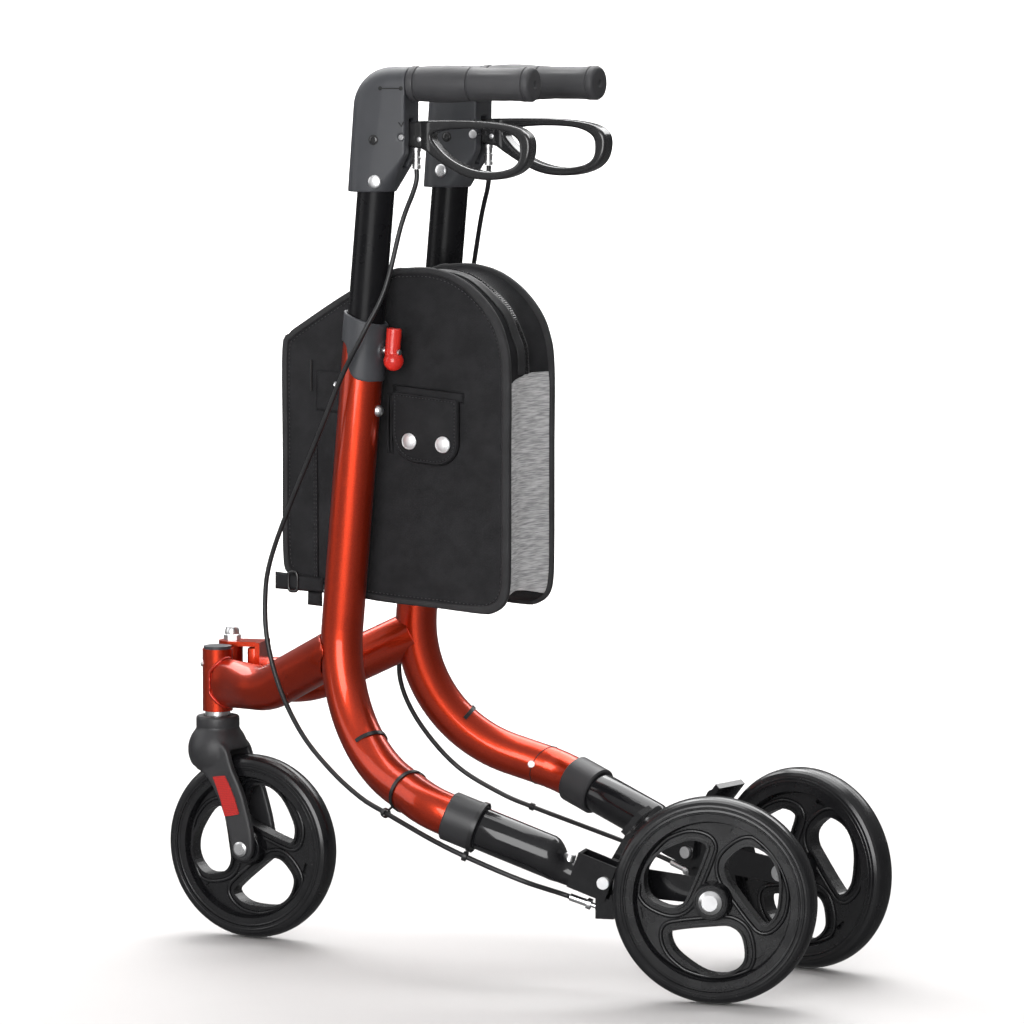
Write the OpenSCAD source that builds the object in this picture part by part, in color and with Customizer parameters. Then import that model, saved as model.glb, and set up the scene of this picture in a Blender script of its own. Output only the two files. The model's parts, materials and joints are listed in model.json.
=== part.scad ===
// Three wheel rollator in its folded stance, as an assembly of separate pieces
// Length runs along X with the rear at plus X, the left side is minus Y, the floor is Z zero

/* [Frame] */
// Half distance between the two uprights
upright_half = 78; // [72:1:90]
// Place of the upright axis at floor level along the length
upright_x = -170; // [-185:1:-155]
// Backward lean of the uprights in degrees
lean = 5.2; // [4:0.1:6.5]
// Outside diameter of the frame tube
tube_d = 42; // [40:0.5:44]
// Wall of the frame tube
tube_wall = 2; // [1.5:0.1:2.2]
// Height of the grip axis above the upper end of the frame tube
tube_below = 238; // [218:1:258]
// Height of the corner where the tube turns rearward
bend_height = 226; // [215:1:240]
// Radius of the large rearward bend
bend_r = 143; // [125:1:155]
// Radius of the small bend ahead of the leg
knee_r = 60; // [50:1:70]

/* [Front arms] */
// Outside diameter of the front arms
arm_d = 46; // [42:0.5:47]
// Wall of the front arms
arm_wall = 2.5; // [1.5:0.1:4]
// Height of the arm axis at the head
arm_low = 263; // [258:1:268]
// Height of the arm axis at the upright
arm_high = 316; // [305:1:325]
// Level run of the arm behind the head
arm_level = 85; // [75:1:95]
// Radius of the bend in the arm
arm_bend_r = 90; // [70:1:100]

/* [Legs] */
// Inward turn of the leg and wheel in degrees when folded
toe = 11.5; // [9:0.1:13]
// Downward slope of the leg in degrees
leg_drop = 19.5; // [18:0.1:21]
// Distance of the leg axis inboard of the wheel
leg_inset = 24; // [23:0.5:26]
// Distance ahead of the axle where the leg tube necks down
leg_end_back = 156; // [152:1:160]
// Height of the leg axis at that neck
leg_end_z = 126; // [122:1:130]
// Distance ahead of the axle where the small bend lies
knee_back = 291; // [286:1:298]
// Outside diameter of the collar on the leg
leg_collar_d = 49; // [46:0.5:52]
// Length of the collar on the leg
leg_collar_len = 34; // [28:1:40]

/* [Wheels] */
// Place of the rear axle along the length
rear_x = 284; // [276:1:292]
// Half track of the rear wheels
rear_y = 106; // [102:1:112]
// Rear wheel diameter
rear_d = 201; // [196:1:204]
// Front wheel diameter
front_d = 190; // [186:1:193]
// Width of a tyre
tyre_w = 29; // [26:0.5:30]
// Height of a tyre above its rim
tyre_h = 13; // [10:0.5:16]
// Width over the ends of a wheel hub
hub_w = 34; // [32:0.5:35]
// Outside diameter of a wheel hub
hub_d = 34; // [30:0.5:38]
// Diameter of the axles
axle_d = 10; // [8:0.5:11]
// Thickness of the wheel web
web_t = 9; // [6:0.5:12]

/* [Castor] */
// Place of the steering head along the length
head_x = -330; // [-336:1:-324]
// Outside diameter of the head tube
head_d = 31; // [29:0.5:33]
// Wall of the head tube
head_wall = 2.5; // [2:0.1:3]
// Height of the lower end of the head tube
head_low = 233; // [231:0.5:236]
// Height of the upper end of the head tube
head_high = 297; // [294:0.5:299]
// Distance of the front axle behind the steering axis
trail = 41; // [37:0.5:45]
// Thickness of a fork leg
fork_t = 8; // [6:0.5:10]
// Diameter of the fork crown
crown_d = 62; // [59:0.5:63]

/* [Hinge] */
// Distance of the fold pin from the head axis
pin_y = 30; // [29:0.5:32]
// Diameter of the fold pin
pin_d = 10; // [8:0.5:11]
// Outside diameter of the pin sleeve
sleeve_d = 22; // [18:0.5:23]
// Thickness of the clevis plates
clevis_t = 5; // [4:0.5:6]

/* [Handles] */
// Height of the grip axis
grip_height = 878; // [868:1:888]
// Inward turn of the grips in degrees
grip_toe = 2.5; // [1:0.1:4]
// Outside diameter of the sliding post
post_d = 37; // [35:0.5:37.4]
// Wall of the sliding post
post_wall = 2; // [1.5:0.1:3]
// Height of the lower end of the post
post_low = 430; // [420:1:460]
// Height of the handle housing below the grip axis
housing_high = 106; // [102:1:110]
// Outside diameter of the grip
grip_d = 34; // [32:0.5:35]
// Length of the grip
grip_len = 134; // [130:1:150]
// Diameter of the bar inside the grip
bar_d = 22; // [20:0.5:24]

/* [Brakes] */
// Reach of the brake lever from its pivot
lever_len = 138; // [130:1:142]
// Depth of the brake lever loop
lever_depth = 54; // [50:1:57]
// Width of the brake lever
lever_w = 20; // [16:0.5:22]
// Diameter of the brake cable
cable_d = 5; // [4:0.2:5.2]
// Rest gap between brake shoe and tyre
shoe_gap = 5; // [4.5:0.1:7]

/* [Bag] */
// Half width of the bag
bag_half = 49; // [44:0.5:50]
// Length of the bag
bag_len = 258; // [245:1:262]
// Height of the bag
bag_high = 342; // [330:1:350]
// Place of the front edge of the bag along the length
bag_front = -224; // [-230:1:-218]
// Height of the lowest edge of the bag
bag_low = 355; // [350:1:360]
// Thickness of the bag panels
panel_t = 4; // [3:0.5:5]

/* [Hidden] */
$fn = 48;

// One overrun serves all cuts
over = 1;
// Clearance of pieces that are fixed to each other
seat = 0.02;
// Clearance of pieces that run on each other
run = 0.05;
// Clearance between separate bodies that pass each other
pass = 0.6;

tube_top = grip_height - tube_below;
tube_r = tube_d / 2;
bore_r = tube_r - tube_wall;
post_r = post_d / 2;
arm_r = arm_d / 2;
head_r = head_d / 2;
axle_r = axle_d / 2;
rear_r = rear_d / 2;
front_r = front_d / 2;
grip_r = grip_d / 2;
bar_r = bar_d / 2;
cable_r = cable_d / 2;
pin_r = pin_d / 2;
sleeve_r = sleeve_d / 2;

// Vectors, curves and outlines
function unit(v) = v / norm(v);
function blend(a, b, c, d, t) =
  (2 * b + (c - a) * t + (2 * a - 5 * b + 4 * c - d) * t * t + (3 * b - a - 3 * c + d) * t * t * t) / 2;
function loop_curve(pts, steps) = let (n = len(pts)) [
  for (i = [0 : n - 1]) for (k = [0 : steps - 1])
    blend(pts[(i + n - 1) % n], pts[i], pts[(i + 1) % n], pts[(i + 2) % n], k / steps)
];
function open_curve(pts, steps) = let (n = len(pts)) concat([
  for (i = [0 : n - 2]) for (k = [0 : steps - 1])
    blend(pts[max(i - 1, 0)], pts[i], pts[i + 1], pts[min(i + 2, n - 1)], k / steps)
], [pts[n - 1]]);
function outward(pts, d) = let (n = len(pts)) [
  for (i = [0 : n - 1]) let (t = unit(pts[(i + 1) % n] - pts[(i + n - 1) % n])) pts[i] + d * [t.y, -t.x]
];
function sized(shares, w, h) = [for (p = shares) [p.x * w, p.y * h]];
function turn_of(a, b, c) = 180 - acos(unit(a - b) * unit(c - b));
function tangent_len(a, b, c, r) = r * tan(turn_of(a, b, c) / 2);
function bend_centre(a, b, c, r) =
  b + unit(unit(a - b) + unit(c - b)) * r / cos(turn_of(a, b, c) / 2);

// Straight round bar between two points
module rod(p, q, r) {
  d = q - p;
  translate(p)
    rotate([0, acos(d.z / norm(d)), atan2(d.y, d.x)])
      cylinder(h = norm(d), r = r);
}

// Round bend at corner b of the path a, b, c
module elbow(a, b, c, bend, r) {
  u = unit(a - b);
  centre = bend_centre(a, b, c, bend);
  e1 = unit(b + u * tangent_len(a, b, c, bend) - centre);
  e2 = -u;
  e3 = cross(e1, e2);
  multmatrix([
    [e1.x, e2.x, e3.x, centre.x], [e1.y, e2.y, e3.y, centre.y], [e1.z, e2.z, e3.z, centre.z], [0, 0, 0, 1]
  ])
    rotate_extrude(angle = turn_of(a, b, c))
      translate([bend, 0])
        circle(r);
}

// Round tube body along corner points, with one bend radius for each inner corner
// The straight runs enter the bends a little, and the bends are a hair wider
join = 0.5;
bend_step = 0.04;
module pipe(pts, bends, r) {
  n = len(pts);
  cut = [
    for (i = [0 : n - 1])
      i == 0 || i == n - 1 ? 0 : tangent_len(pts[i - 1], pts[i], pts[i + 1], bends[i - 1]) - join
  ];
  for (i = [0 : n - 2]) {
    d = unit(pts[i + 1] - pts[i]);
    rod(pts[i] + d * cut[i], pts[i + 1] - d * cut[i + 1], r);
  }
  for (i = [1 : n - 2])
    elbow(pts[i - 1], pts[i], pts[i + 1], bends[i - 1], r + bend_step);
}

// The same path with both ends made longer
function longer(pts, d) = let (n = len(pts)) [
  for (i = [0 : n - 1])
    i == 0 ? pts[0] + unit(pts[0] - pts[1]) * d
    : i == n - 1 ? pts[i] + unit(pts[i] - pts[i - 1]) * d
    : pts[i]
];

// Flat outline round two circles
module link_outline(p, r1, q, r2) {
  d = q - p;
  a = atan2(d.y, d.x);
  b = acos((r1 - r2) / norm(d));
  polygon([
    p + r1 * [cos(a + b), sin(a + b)], q + r2 * [cos(a + b), sin(a + b)],
    q + r2 * [cos(a - b), sin(a - b)], p + r1 * [cos(a - b), sin(a - b)]
  ]);
  translate(p)
    circle(r1);
  translate(q)
    circle(r2);
}

module round_square(w, h, r) {
  square([w - 2 * r, h], center = true);
  square([w, h - 2 * r], center = true);
  for (x = [-1, 1]) for (y = [-1, 1])
    translate([x * (w / 2 - r), y * (h / 2 - r)])
      circle(r);
}

// Swept round cord along a curve, as one closed body
function ring_frame(pts, i) = unit(pts[min(i + 1, len(pts) - 1)] - pts[max(i - 1, 0)]);
module cord(pts, r, sides) {
  n = len(pts);
  ref = [0, 1, 0];
  points = [
    for (i = [0 : n - 1]) let (t = ring_frame(pts, i), a = unit(cross(ref, t)), b = cross(t, a))
      for (k = [0 : sides - 1]) pts[i] + r * (cos(360 * k / sides) * a + sin(360 * k / sides) * b)
  ];
  faces = concat(
    [[for (k = [0 : sides - 1]) k]],
    [for (i = [0 : n - 2]) for (k = [0 : sides - 1]) let (j = (k + 1) % sides, m = i * sides)
      [m + k, m + sides + k, m + j]],
    [for (i = [0 : n - 2]) for (k = [0 : sides - 1]) let (j = (k + 1) % sides, m = i * sides)
      [m + j, m + sides + k, m + sides + j]],
    [[for (k = [sides - 1 : -1 : 0]) (n - 1) * sides + k]]
  );
  polyhedron(points, faces);
}

// The left side is drawn, and the right side is its mirror image
module on_side(side) {
  if (side == "left")
    children();
  else
    mirror([0, 1, 0])
      children();
}

// Places on the left side
function handle_pt(x, z) =
  up(grip_height) + [x * cos(grip_toe), x * sin(grip_toe), z];
function up(z) = [upright_x + z * tan(lean), -upright_half, z];
function leg_pt(x, y, z) =
  [rear_x + x * cos(toe) - y * sin(toe), -rear_y + x * sin(toe) + y * cos(toe), z];
function leg_z(x) = leg_end_z - (leg_end_back + x) * tan(leg_drop);
knee = leg_pt(-knee_back, leg_inset, leg_z(-knee_back));
leg_dir = [cos(toe) * cos(leg_drop), sin(toe) * cos(leg_drop), -sin(leg_drop)];
function on_leg(s) = knee + leg_dir * s;
leg_neck_at = (knee_back - leg_end_back) / cos(leg_drop);

module upright_axis()
  translate([upright_x, -upright_half, 0])
    rotate([0, lean, 0])
      children();
module leg_axis()
  translate(knee)
    rotate([0, 0, toe])
      rotate([0, 90 + leg_drop, 0])
        children();
module leg_frame()
  translate([rear_x, -rear_y, 0])
    rotate([0, 0, toe])
      children();
module handle_frame()
  translate(up(grip_height))
    rotate([0, 0, grip_toe])
      children();

// Frame tube, leg collar and leg tube
collar_at = 19;
tube_end_at = collar_at + leg_collar_len / 2;
spigot_len = 14;
seam_w = 1.2;
seam_deep = 0.6;
seam_from_bend = 120;
rivet_d = 7;
rivet_h = 1.5;
rivet_from_seam = 15;
snap_below = 83;
snap_height = tube_top / cos(lean) - snap_below;
snap_d = 12;
main_path = [up(tube_top), up(bend_height), knee, on_leg(tube_end_at)];
main_bends = [bend_r, knee_r];
splay_dir = unit(knee - up(bend_height));
function on_splay(d) = up(bend_height) + splay_dir * d;

module main_tube() {
  color("orangered")
    difference() {
      pipe(main_path, main_bends, tube_r);
      pipe(longer(main_path, over), main_bends, bore_r);
    }
}

module leg_collar() {
  lip = 1.5;
  bore = tube_r + seat;
  outer = leg_collar_d / 2;
  color("dimgray")
    leg_axis()
      translate([0, 0, collar_at])
        rotate_extrude()
          polygon([
            [bore, 0], [outer - lip, 0], [outer, lip], [outer, leg_collar_len - lip],
            [outer - lip, leg_collar_len], [bore, leg_collar_len]
          ]);
}

neck_d = 19;
neck_off = 5.5;
neck_run = 14;
neck_len = 37;
leg_tube_bore = 17;
neck_shares = [[1, 0], [0.985, 0.2], [0.93, 0.42], [0.8, 0.62], [0.6, 0.8], [0.3, 0.95], [0, 1]];
module leg_tube() {
  neck_r = neck_d / 2;
  start = tube_end_at;
  shoulder = leg_neck_at - neck_run;
  curve = open_curve(sized(neck_shares, tube_r, neck_run), 3);
  color("black")
    leg_axis() {
      rotate_extrude()
        polygon(concat(
          [[leg_tube_bore, start - spigot_len], [bore_r - seat, start - spigot_len],
          [bore_r - seat, start], [tube_r, start]],
          [for (p = curve) [max(p.x, 0), shoulder + p.y]],
          [[0, shoulder], [leg_tube_bore, shoulder - neck_run]]
        ));
      translate([neck_off, 0, shoulder])
        cylinder(h = neck_run + neck_len, r = neck_r);
    }
}

// Wheel bracket with its channel, cable stop and axle boss
bracket_at = 156;
bracket_len = 40;
bracket_high = 36;
bracket_w = 28;
bracket_wall = 3;
plate_t = 3;
plate_step = 1;
plate_r_share = 0.42;
boss_r = 13;
stop_w = 16;
stop_len = 18;
stop_low = 74;
stop_high = 98;
bolt_x = -113;
bolt_z = 110;
bolt_r = 3;
bolt_head_r = 6;
bolt_head_h = 3;
hub_side = hub_w / 2 + pass;
plate_out = leg_inset + bracket_w / 2 + plate_step / 2;

module across(x, z, y1, y2, r) {
  translate([x, y1, z])
    rotate([-90, 0, 0])
      cylinder(h = y2 - y1, r = r);
}

module wheel_bracket() {
  color([0.12, 0.12, 0.13])
    difference() {
      union() {
        leg_axis()
          translate([-bracket_high / 2, -bracket_w / 2, bracket_at])
            cube([bracket_high, bracket_w, bracket_len]);
        leg_frame() {
          translate([0, plate_out, 0])
            rotate([90, 0, 0])
              linear_extrude(plate_t)
                link_outline([bolt_x, bolt_z], bracket_high * plate_r_share, [0, rear_r], boss_r - plate_step);
          across(0, rear_r, hub_side, plate_out + plate_step, boss_r);
          translate([bolt_x - stop_len / 2, leg_inset - bracket_w / 2 + bracket_wall + plate_step, stop_low])
            cube([stop_len, stop_w, stop_high - stop_low]);
        }
      }
      leg_axis() {
        translate([neck_off, 0, bracket_at - over])
          cylinder(h = bracket_wall + 2 * over, r = neck_d / 2 + seat);
        translate([-bracket_high / 2 - over, -bracket_w / 2 + bracket_wall, bracket_at + bracket_wall])
          cube([bracket_high + over - bracket_wall, bracket_w - 2 * bracket_wall, bracket_len]);
      }
      leg_frame() {
        across(0, rear_r, 0, plate_out + plate_step + over, axle_r + seat);
        across(bolt_x, bolt_z, 0, plate_out + plate_step + over, bolt_r + seat);
      }
      adjuster_line(thread_r + seat, over);
    }
}

// Cable adjuster that screws into the stop
thread_r = 2.5;
barrel_r = 3.6;
nut_r = 5.5;
nut_h = 4;
adjuster_inset = 21;
adjuster_back = 149;
adjuster_z = 93;
adjuster_len = 30;
barrel_len = 18;
thread_in = 8;
adjuster_from = leg_pt(-adjuster_back, adjuster_inset, adjuster_z);
adjuster_slope = 17;
adjuster_dir = [cos(toe) * cos(adjuster_slope), sin(toe) * cos(adjuster_slope), -sin(adjuster_slope)];
module adjuster_line(r, extra) {
  rod(adjuster_from, adjuster_from + adjuster_dir * (adjuster_len + thread_in + extra), r);
}
module cable_adjuster() {
  color("silver") {
    adjuster_line(thread_r, 0);
    rod(adjuster_from, adjuster_from + adjuster_dir * barrel_len, barrel_r);
    rod(adjuster_from + adjuster_dir * barrel_len, adjuster_from + adjuster_dir * (barrel_len + nut_h), nut_r);
  }
}

// Rear axle with outer cap and inner nut
cap_r = 11.5;
cap_h = 4;
axle_nut_r = 8;
axle_nut_h = 6;
module axle(cap_y, nut_y) {
  across(0, 0, cap_y, nut_y + axle_nut_h, axle_r);
  translate([0, cap_y, 0])
    rotate([90, 0, 0])
      rotate_extrude()
        polygon([[0, 0], [cap_r, 0], [cap_r, cap_h / 3], [cap_r * 2 / 3, cap_h], [0, cap_h]]);
  across(0, 0, nut_y, nut_y + axle_nut_h, axle_nut_r);
}
module rear_axle() {
  color("silver")
    leg_frame()
      translate([0, 0, rear_r])
        axle(-hub_w / 2 - pass, plate_out + plate_step + seat);
}

// Wheel parts about the Y axis at the origin
tyre_power = 0.55;
tyre_steps = 6;
rim_lip = 1.5;
ring_share = 0.75;
rim_bed = 6;
bush_r = 8;
bush_len = 10;
lip_t = 2.4;
lip_h = 4;
slot_len = 11;
slot_w = 4;
slot_share = 0.705;
slot_turn = -16;
spokes = 3;
opening_shares = [
  [-0.19, -0.51], [-0.083, -0.61], [0.083, -0.64], [0.29, -0.63], [0.455, -0.55], [0.54, -0.42],
  [0.545, -0.28], [0.41, -0.125], [0.27, -0.11], [0.125, -0.21], [-0.125, -0.42]
];
module wheel_axis()
  rotate([-90, 0, 0])
    children();
module tyre(r) {
  bed = r - tyre_h;
  side = [
    for (i = [-tyre_steps : tyre_steps]) let (a = 90 * i / tyre_steps)
      [bed + tyre_h * pow(max(cos(a), 0), tyre_power), tyre_w / 2 * sin(a)]
  ];
  wheel_axis()
    rotate_extrude()
      polygon(concat([[bed, -tyre_w / 2]], [for (i = [1 : 2 * tyre_steps - 1]) side[i]], [[bed, tyre_w / 2]]));
}
module opening(r, grow) {
  polygon(outward(loop_curve(sized(opening_shares, r, r), 4), grow));
}
module rim(r) {
  bed = r - tyre_h - seat;
  half = tyre_w / 2 - rim_lip;
  ring = r * ring_share;
  hub_r = hub_d / 2;
  color([0.1, 0.1, 0.11])
    wheel_axis()
      difference() {
        union() {
          rotate_extrude()
            polygon([
              [axle_r + run, -hub_w / 2], [hub_r, -hub_w / 2], [hub_r + lip_t, -web_t / 2],
              [ring, -web_t / 2], [ring + lip_t, -half], [bed, -half], [bed, half], [ring + lip_t, half],
              [ring, web_t / 2], [hub_r + lip_t, web_t / 2], [hub_r, hub_w / 2], [axle_r + run, hub_w / 2]
            ]);
          for (i = [0 : spokes - 1])
            rotate(360 * i / spokes)
              linear_extrude(web_t + 2 * lip_h, center = true)
                opening(r, lip_t);
        }
        for (i = [0 : spokes - 1])
          rotate(360 * i / spokes) {
            linear_extrude(hub_w + 2 * over, center = true)
              opening(r, 0);
            rotate(slot_turn)
              translate([r * slot_share, 0])
                linear_extrude(hub_w, center = true)
                  square([slot_w, slot_len], center = true);
          }
        for (y = [-1, 1])
          translate([0, 0, y * (hub_w / 2 - bush_len / 2 + over / 2)])
            cylinder(h = bush_len + over, r = bush_r + seat, center = true);
      }
}
module bushes() {
  color("gray")
    wheel_axis()
      for (y = [-1, 1])
        translate([0, 0, y * (hub_w / 2 - bush_len / 2)])
          difference() {
            cylinder(h = bush_len, r = bush_r, center = true);
            cylinder(h = bush_len + 2 * over, r = axle_r + run, center = true);
          }
}
rear_spin = 32;
front_spin = 0;
module rear_wheel_place()
  leg_frame()
    translate([0, 0, rear_r])
      rotate([0, rear_spin, 0])
        children();
module rear_tyre() {
  color([0.08, 0.08, 0.08])
    rear_wheel_place()
      tyre(rear_r);
}
module rear_rim() {
  rear_wheel_place()
    mirror([0, 0, 1])
      rim(rear_r);
}
module rear_bushes() {
  rear_wheel_place()
    bushes();
}

// Brake arm that swings its shoe onto the tyre
arm_plate_t = 6;
arm_in = plate_out + pass;
arm_pivot_r = 9;
arm_tip_r = 8;
shoe_turn = 140;
shoe_t = 6;
shoe_len = 26;
shoe_inner = 2;
module brake_arm() {
  shoe_r = rear_r + shoe_gap;
  tip = [shoe_r * cos(shoe_turn), rear_r + shoe_r * sin(shoe_turn)];
  color([0.1, 0.1, 0.1])
    leg_frame()
      difference() {
        union() {
          translate([0, arm_in + arm_plate_t, 0])
            rotate([90, 0, 0])
              linear_extrude(arm_plate_t)
                link_outline([bolt_x, bolt_z], arm_pivot_r, tip, arm_tip_r);
          translate([0, 0, rear_r])
            rotate([0, -shoe_turn, 0])
              translate([shoe_r, shoe_inner, -shoe_len / 2])
                cube([shoe_t, arm_in + arm_plate_t - shoe_inner, shoe_len]);
        }
        translate([0, 0, rear_r])
          across(0, 0, 0, arm_in + arm_plate_t + over, rear_r + shoe_gap);
        across(bolt_x, bolt_z, 0, arm_in + arm_plate_t + over, bolt_r + run);
      }
}

// Front arms, head tube and fold hinge
function arm_pt(from, d, z) = let (to = up(arm_high), v = unit([to.x - from.x, to.y - from.y]))
  [from.x + v.x * d, from.y + v.y * d, z];
head_at = [head_x, 0];
pin_at = [head_x, -pin_y];
function arm_path(from, start) = [
  arm_pt(from, start, arm_low), arm_pt(from, arm_level, arm_low), up(arm_high)
];
arm_seam_back = 62;
clevis_reach = 30;
clevis_end_r = 14;
web_wide = 42;
clevis_low = 238;
clevis_top = head_high + pass;
sleeve_low = clevis_low + clevis_t + pass;

arm_plug = 26;
saddle_gap = 0.2;
module arm_tube(from, start) {
  path = arm_path(from, start);
  inner = arm_path(from, max(start, arm_plug));
  rise = unit(path[2] - path[1]);
  seam = path[2] - rise * arm_seam_back;
  difference() {
    pipe(path, [arm_bend_r], arm_r);
    pipe(longer(inner, over), [arm_bend_r], arm_r - arm_wall);
    pipe(main_path, main_bends, tube_r + saddle_gap);
    difference() {
      rod(seam, seam + rise * seam_w, arm_r + over);
      rod(seam - rise * over, seam + rise * (seam_w + over), arm_r - seam_deep);
    }
  }
}
module left_front_arm() {
  color("orangered")
    difference() {
      arm_tube(head_at, 0);
      translate([head_x, 0, head_low])
        cylinder(h = head_high - head_low, r = head_r + seat);
      translate([head_x, pin_y, head_low])
        cylinder(h = head_high - head_low, r = sleeve_r + pass);
      translate([head_x - 2 * arm_r, -arm_r - over, head_low - over])
        cube([2 * arm_r, 2 * arm_r + 2 * over, head_high - head_low + 2 * over]);
    }
}
module head_tube() {
  web_t2 = 8;
  color("orangered")
    difference() {
      union() {
        translate([head_x, 0, head_low])
          cylinder(h = head_high - head_low, r = head_r);
        translate([head_x, pin_y, sleeve_low])
          cylinder(h = head_high - sleeve_low, r = sleeve_r);
        translate([head_x - web_t2 / 2, 0, sleeve_low])
          cube([web_t2, pin_y, head_high - sleeve_low]);
      }
      translate([head_x, 0, head_low - over])
        cylinder(h = head_high - head_low + 2 * over, r = head_r - head_wall);
      translate([head_x, pin_y, head_low - over])
        cylinder(h = head_high - head_low + 2 * over, r = pin_r + run);
    }
}
cap_t = 3;
module head_cap() {
  plug_h = 6;
  color([0.15, 0.15, 0.15])
    translate([head_x, 0, head_high]) {
      cylinder(h = cap_t, r = head_r - head_wall / 2);
      translate([0, 0, -plug_h])
        cylinder(h = plug_h, r = head_r - head_wall - seat);
    }
}
bearing_h = 10;
stem_r = 6;
module head_bearings() {
  color("silver")
    for (z = [head_low, head_high - 2 * bearing_h])
      translate([head_x, 0, z])
        difference() {
          cylinder(h = bearing_h, r = head_r - head_wall - seat);
          translate([0, 0, -over])
            cylinder(h = bearing_h + 2 * over, r = stem_r + run);
        }
}
// The right arm is drawn on the left and mirrored with the rest of its side
module right_arm_body() {
  path = arm_path(pin_at, clevis_reach + clevis_t);
  way = unit([path[1].x - pin_at.x, path[1].y - pin_at.y]);
  color("orangered") {
    arm_tube(pin_at, clevis_reach + clevis_t);
    difference() {
      translate([pin_at.x, pin_at.y, 0])
        rotate([0, 0, atan2(way.y, way.x)]) {
          for (z = [clevis_low, clevis_top])
            translate([0, 0, z]) {
              cylinder(h = clevis_t, r = clevis_end_r);
              translate([0, -clevis_end_r, 0])
                cube([clevis_reach + clevis_t, 2 * clevis_end_r, clevis_t]);
            }
          translate([clevis_reach, -web_wide / 2, clevis_low])
            cube([clevis_t, web_wide, clevis_top + clevis_t - clevis_low]);
        }
      translate([pin_at.x, pin_at.y, clevis_low - over])
        cylinder(h = clevis_top + clevis_t - clevis_low + 2 * over, r = pin_r + seat);
    }
  }
}
module hinge_bolt() {
  nut_d = 16;
  nut_high = 5;
  dome_cut = 1;
  low = clevis_low - nut_high;
  color("silver")
    translate([head_x, pin_y, 0]) {
      translate([0, 0, low])
        cylinder(h = clevis_top + clevis_t + nut_high - low, r = pin_r);
      translate([0, 0, low - seat])
        cylinder(h = nut_high, r = nut_d / 2);
      translate([0, 0, clevis_top + clevis_t + seat])
        cylinder(h = nut_high, r = nut_d / 2, $fn = 6);
      translate([0, 0, clevis_top + clevis_t + nut_high])
        intersection() {
          sphere(r = nut_d / 2 - dome_cut);
          translate([0, 0, nut_d / 2])
            cube(nut_d, center = true);
        }
    }
}

// Post clamp with slanted edges and a boss for the lock lever
clamp_d = 45;
clamp_below = 25.6;
clamp_at = tube_top / cos(lean) - clamp_below;
clamp_high = 56;
clamp_shares = [
  [-0.55, 0.148], [-0.36, 0.145], [-0.25, 0.125], [-0.2, 0.07], [-0.165, -0.018], [-0.14, -0.12], [-0.115, -0.22],
  [-0.075, -0.32], [-0.015, -0.4], [0.06, -0.455], [0.16, -0.49], [0.3, -0.505], [0.55, -0.509], [0.55, 0.488],
  [-0.55, 0.705]
];
clamp_boss_r = 9;
clamp_boss_out = 23.2;
washer_r = 4.4;
washer_h = 1.2;
lock_below = 22.6;
lock_height = tube_top / cos(lean) - lock_below;
stud_r = 3;
module post_clamp() {
  outer = clamp_d / 2;
  top = tube_top / cos(lean);
  color("dimgray")
    upright_axis()
      difference() {
        union() {
          intersection() {
            translate([0, 0, clamp_at - clamp_high])
              cylinder(h = 2 * clamp_high, r = outer);
            translate([0, clamp_d, clamp_at])
              rotate([90, 0, 0])
                linear_extrude(2 * clamp_d)
                  polygon(sized(clamp_shares, clamp_d, clamp_high));
          }
          translate([0, 0, lock_height])
            rotate([0, 90, 0])
              cylinder(h = clamp_boss_out, r = clamp_boss_r);
        }
        cylinder(h = top, r = tube_r + seat);
        translate([0, 0, top - over])
          cylinder(h = clamp_high, r = post_r + run);
        translate([outer - over, 0, lock_height])
          rotate([0, 90, 0])
            cylinder(h = clamp_boss_out, r = stud_r + seat);
      }
}
// Lock lever with a round stem and a bulb, turning on its stud
lever_gap = 0.4;
lock_thick = 15;
lock_bulb_r = 10;
lock_drop = 9;
lock_rise = 23;
lock_bulb_out = 2;
module lock_lever() {
  stem_x = clamp_boss_out + washer_h + lever_gap + lock_thick / 2;
  color("red")
    upright_axis()
      translate([stem_x, 0, lock_height])
        difference() {
          union() {
            translate([0, 0, -lock_drop])
              cylinder(h = lock_rise + lock_drop, r = lock_thick / 2);
            translate([lock_bulb_out, 0, -lock_drop])
              sphere(r = lock_bulb_r);
          }
          rotate([0, 90, 0])
            cylinder(h = 2 * lock_thick + lock_bulb_r, r = stud_r + run, center = true);
          translate([-lock_thick / 2 - lock_bulb_r, -lock_bulb_r, -lock_drop - lock_bulb_r])
            cube([lock_bulb_r, 2 * lock_bulb_r, 2 * lock_bulb_r + lock_rise]);
        }
}

// Studs, bolts and rivets on one side of the frame
module frame_fasteners() {
  knob_r = 5;
  seam_at = on_splay(seam_from_bend + rivet_from_seam);
  inward = unit(cross(splay_dir, [0, 0, 1]));
  nut_y = arm_in + arm_plate_t + pass;
  color("silver") {
    upright_axis() {
      translate([clamp_d / 2, 0, lock_height])
        rotate([0, 90, 0])
          cylinder(h = clamp_boss_out + washer_h + lever_gap + lock_thick + over - clamp_d / 2, r = stud_r);
      translate([clamp_boss_out + seat, 0, lock_height])
        rotate([0, 90, 0])
          cylinder(h = washer_h, r = washer_r);
      translate([tube_r + seat, 0, snap_height])
        rotate([0, 90, 0])
          intersection() {
            sphere(r = snap_d / 2);
            cylinder(h = snap_d / 2, r = snap_d / 2);
          }
    }
    rod(seam_at - inward * (tube_r + seat), seam_at - inward * (tube_r + rivet_h), rivet_d / 2);
    leg_frame() {
      across(bolt_x, bolt_z, leg_inset - bracket_w / 2 - bolt_head_h, nut_y + bolt_head_h, bolt_r);
      across(bolt_x, bolt_z, leg_inset - bracket_w / 2 - bolt_head_h,
        leg_inset - bracket_w / 2 - seat, bolt_head_r);
      across(bolt_x, bolt_z, nut_y, nut_y + bolt_head_h, bolt_head_r);
    }
  }
}

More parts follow.
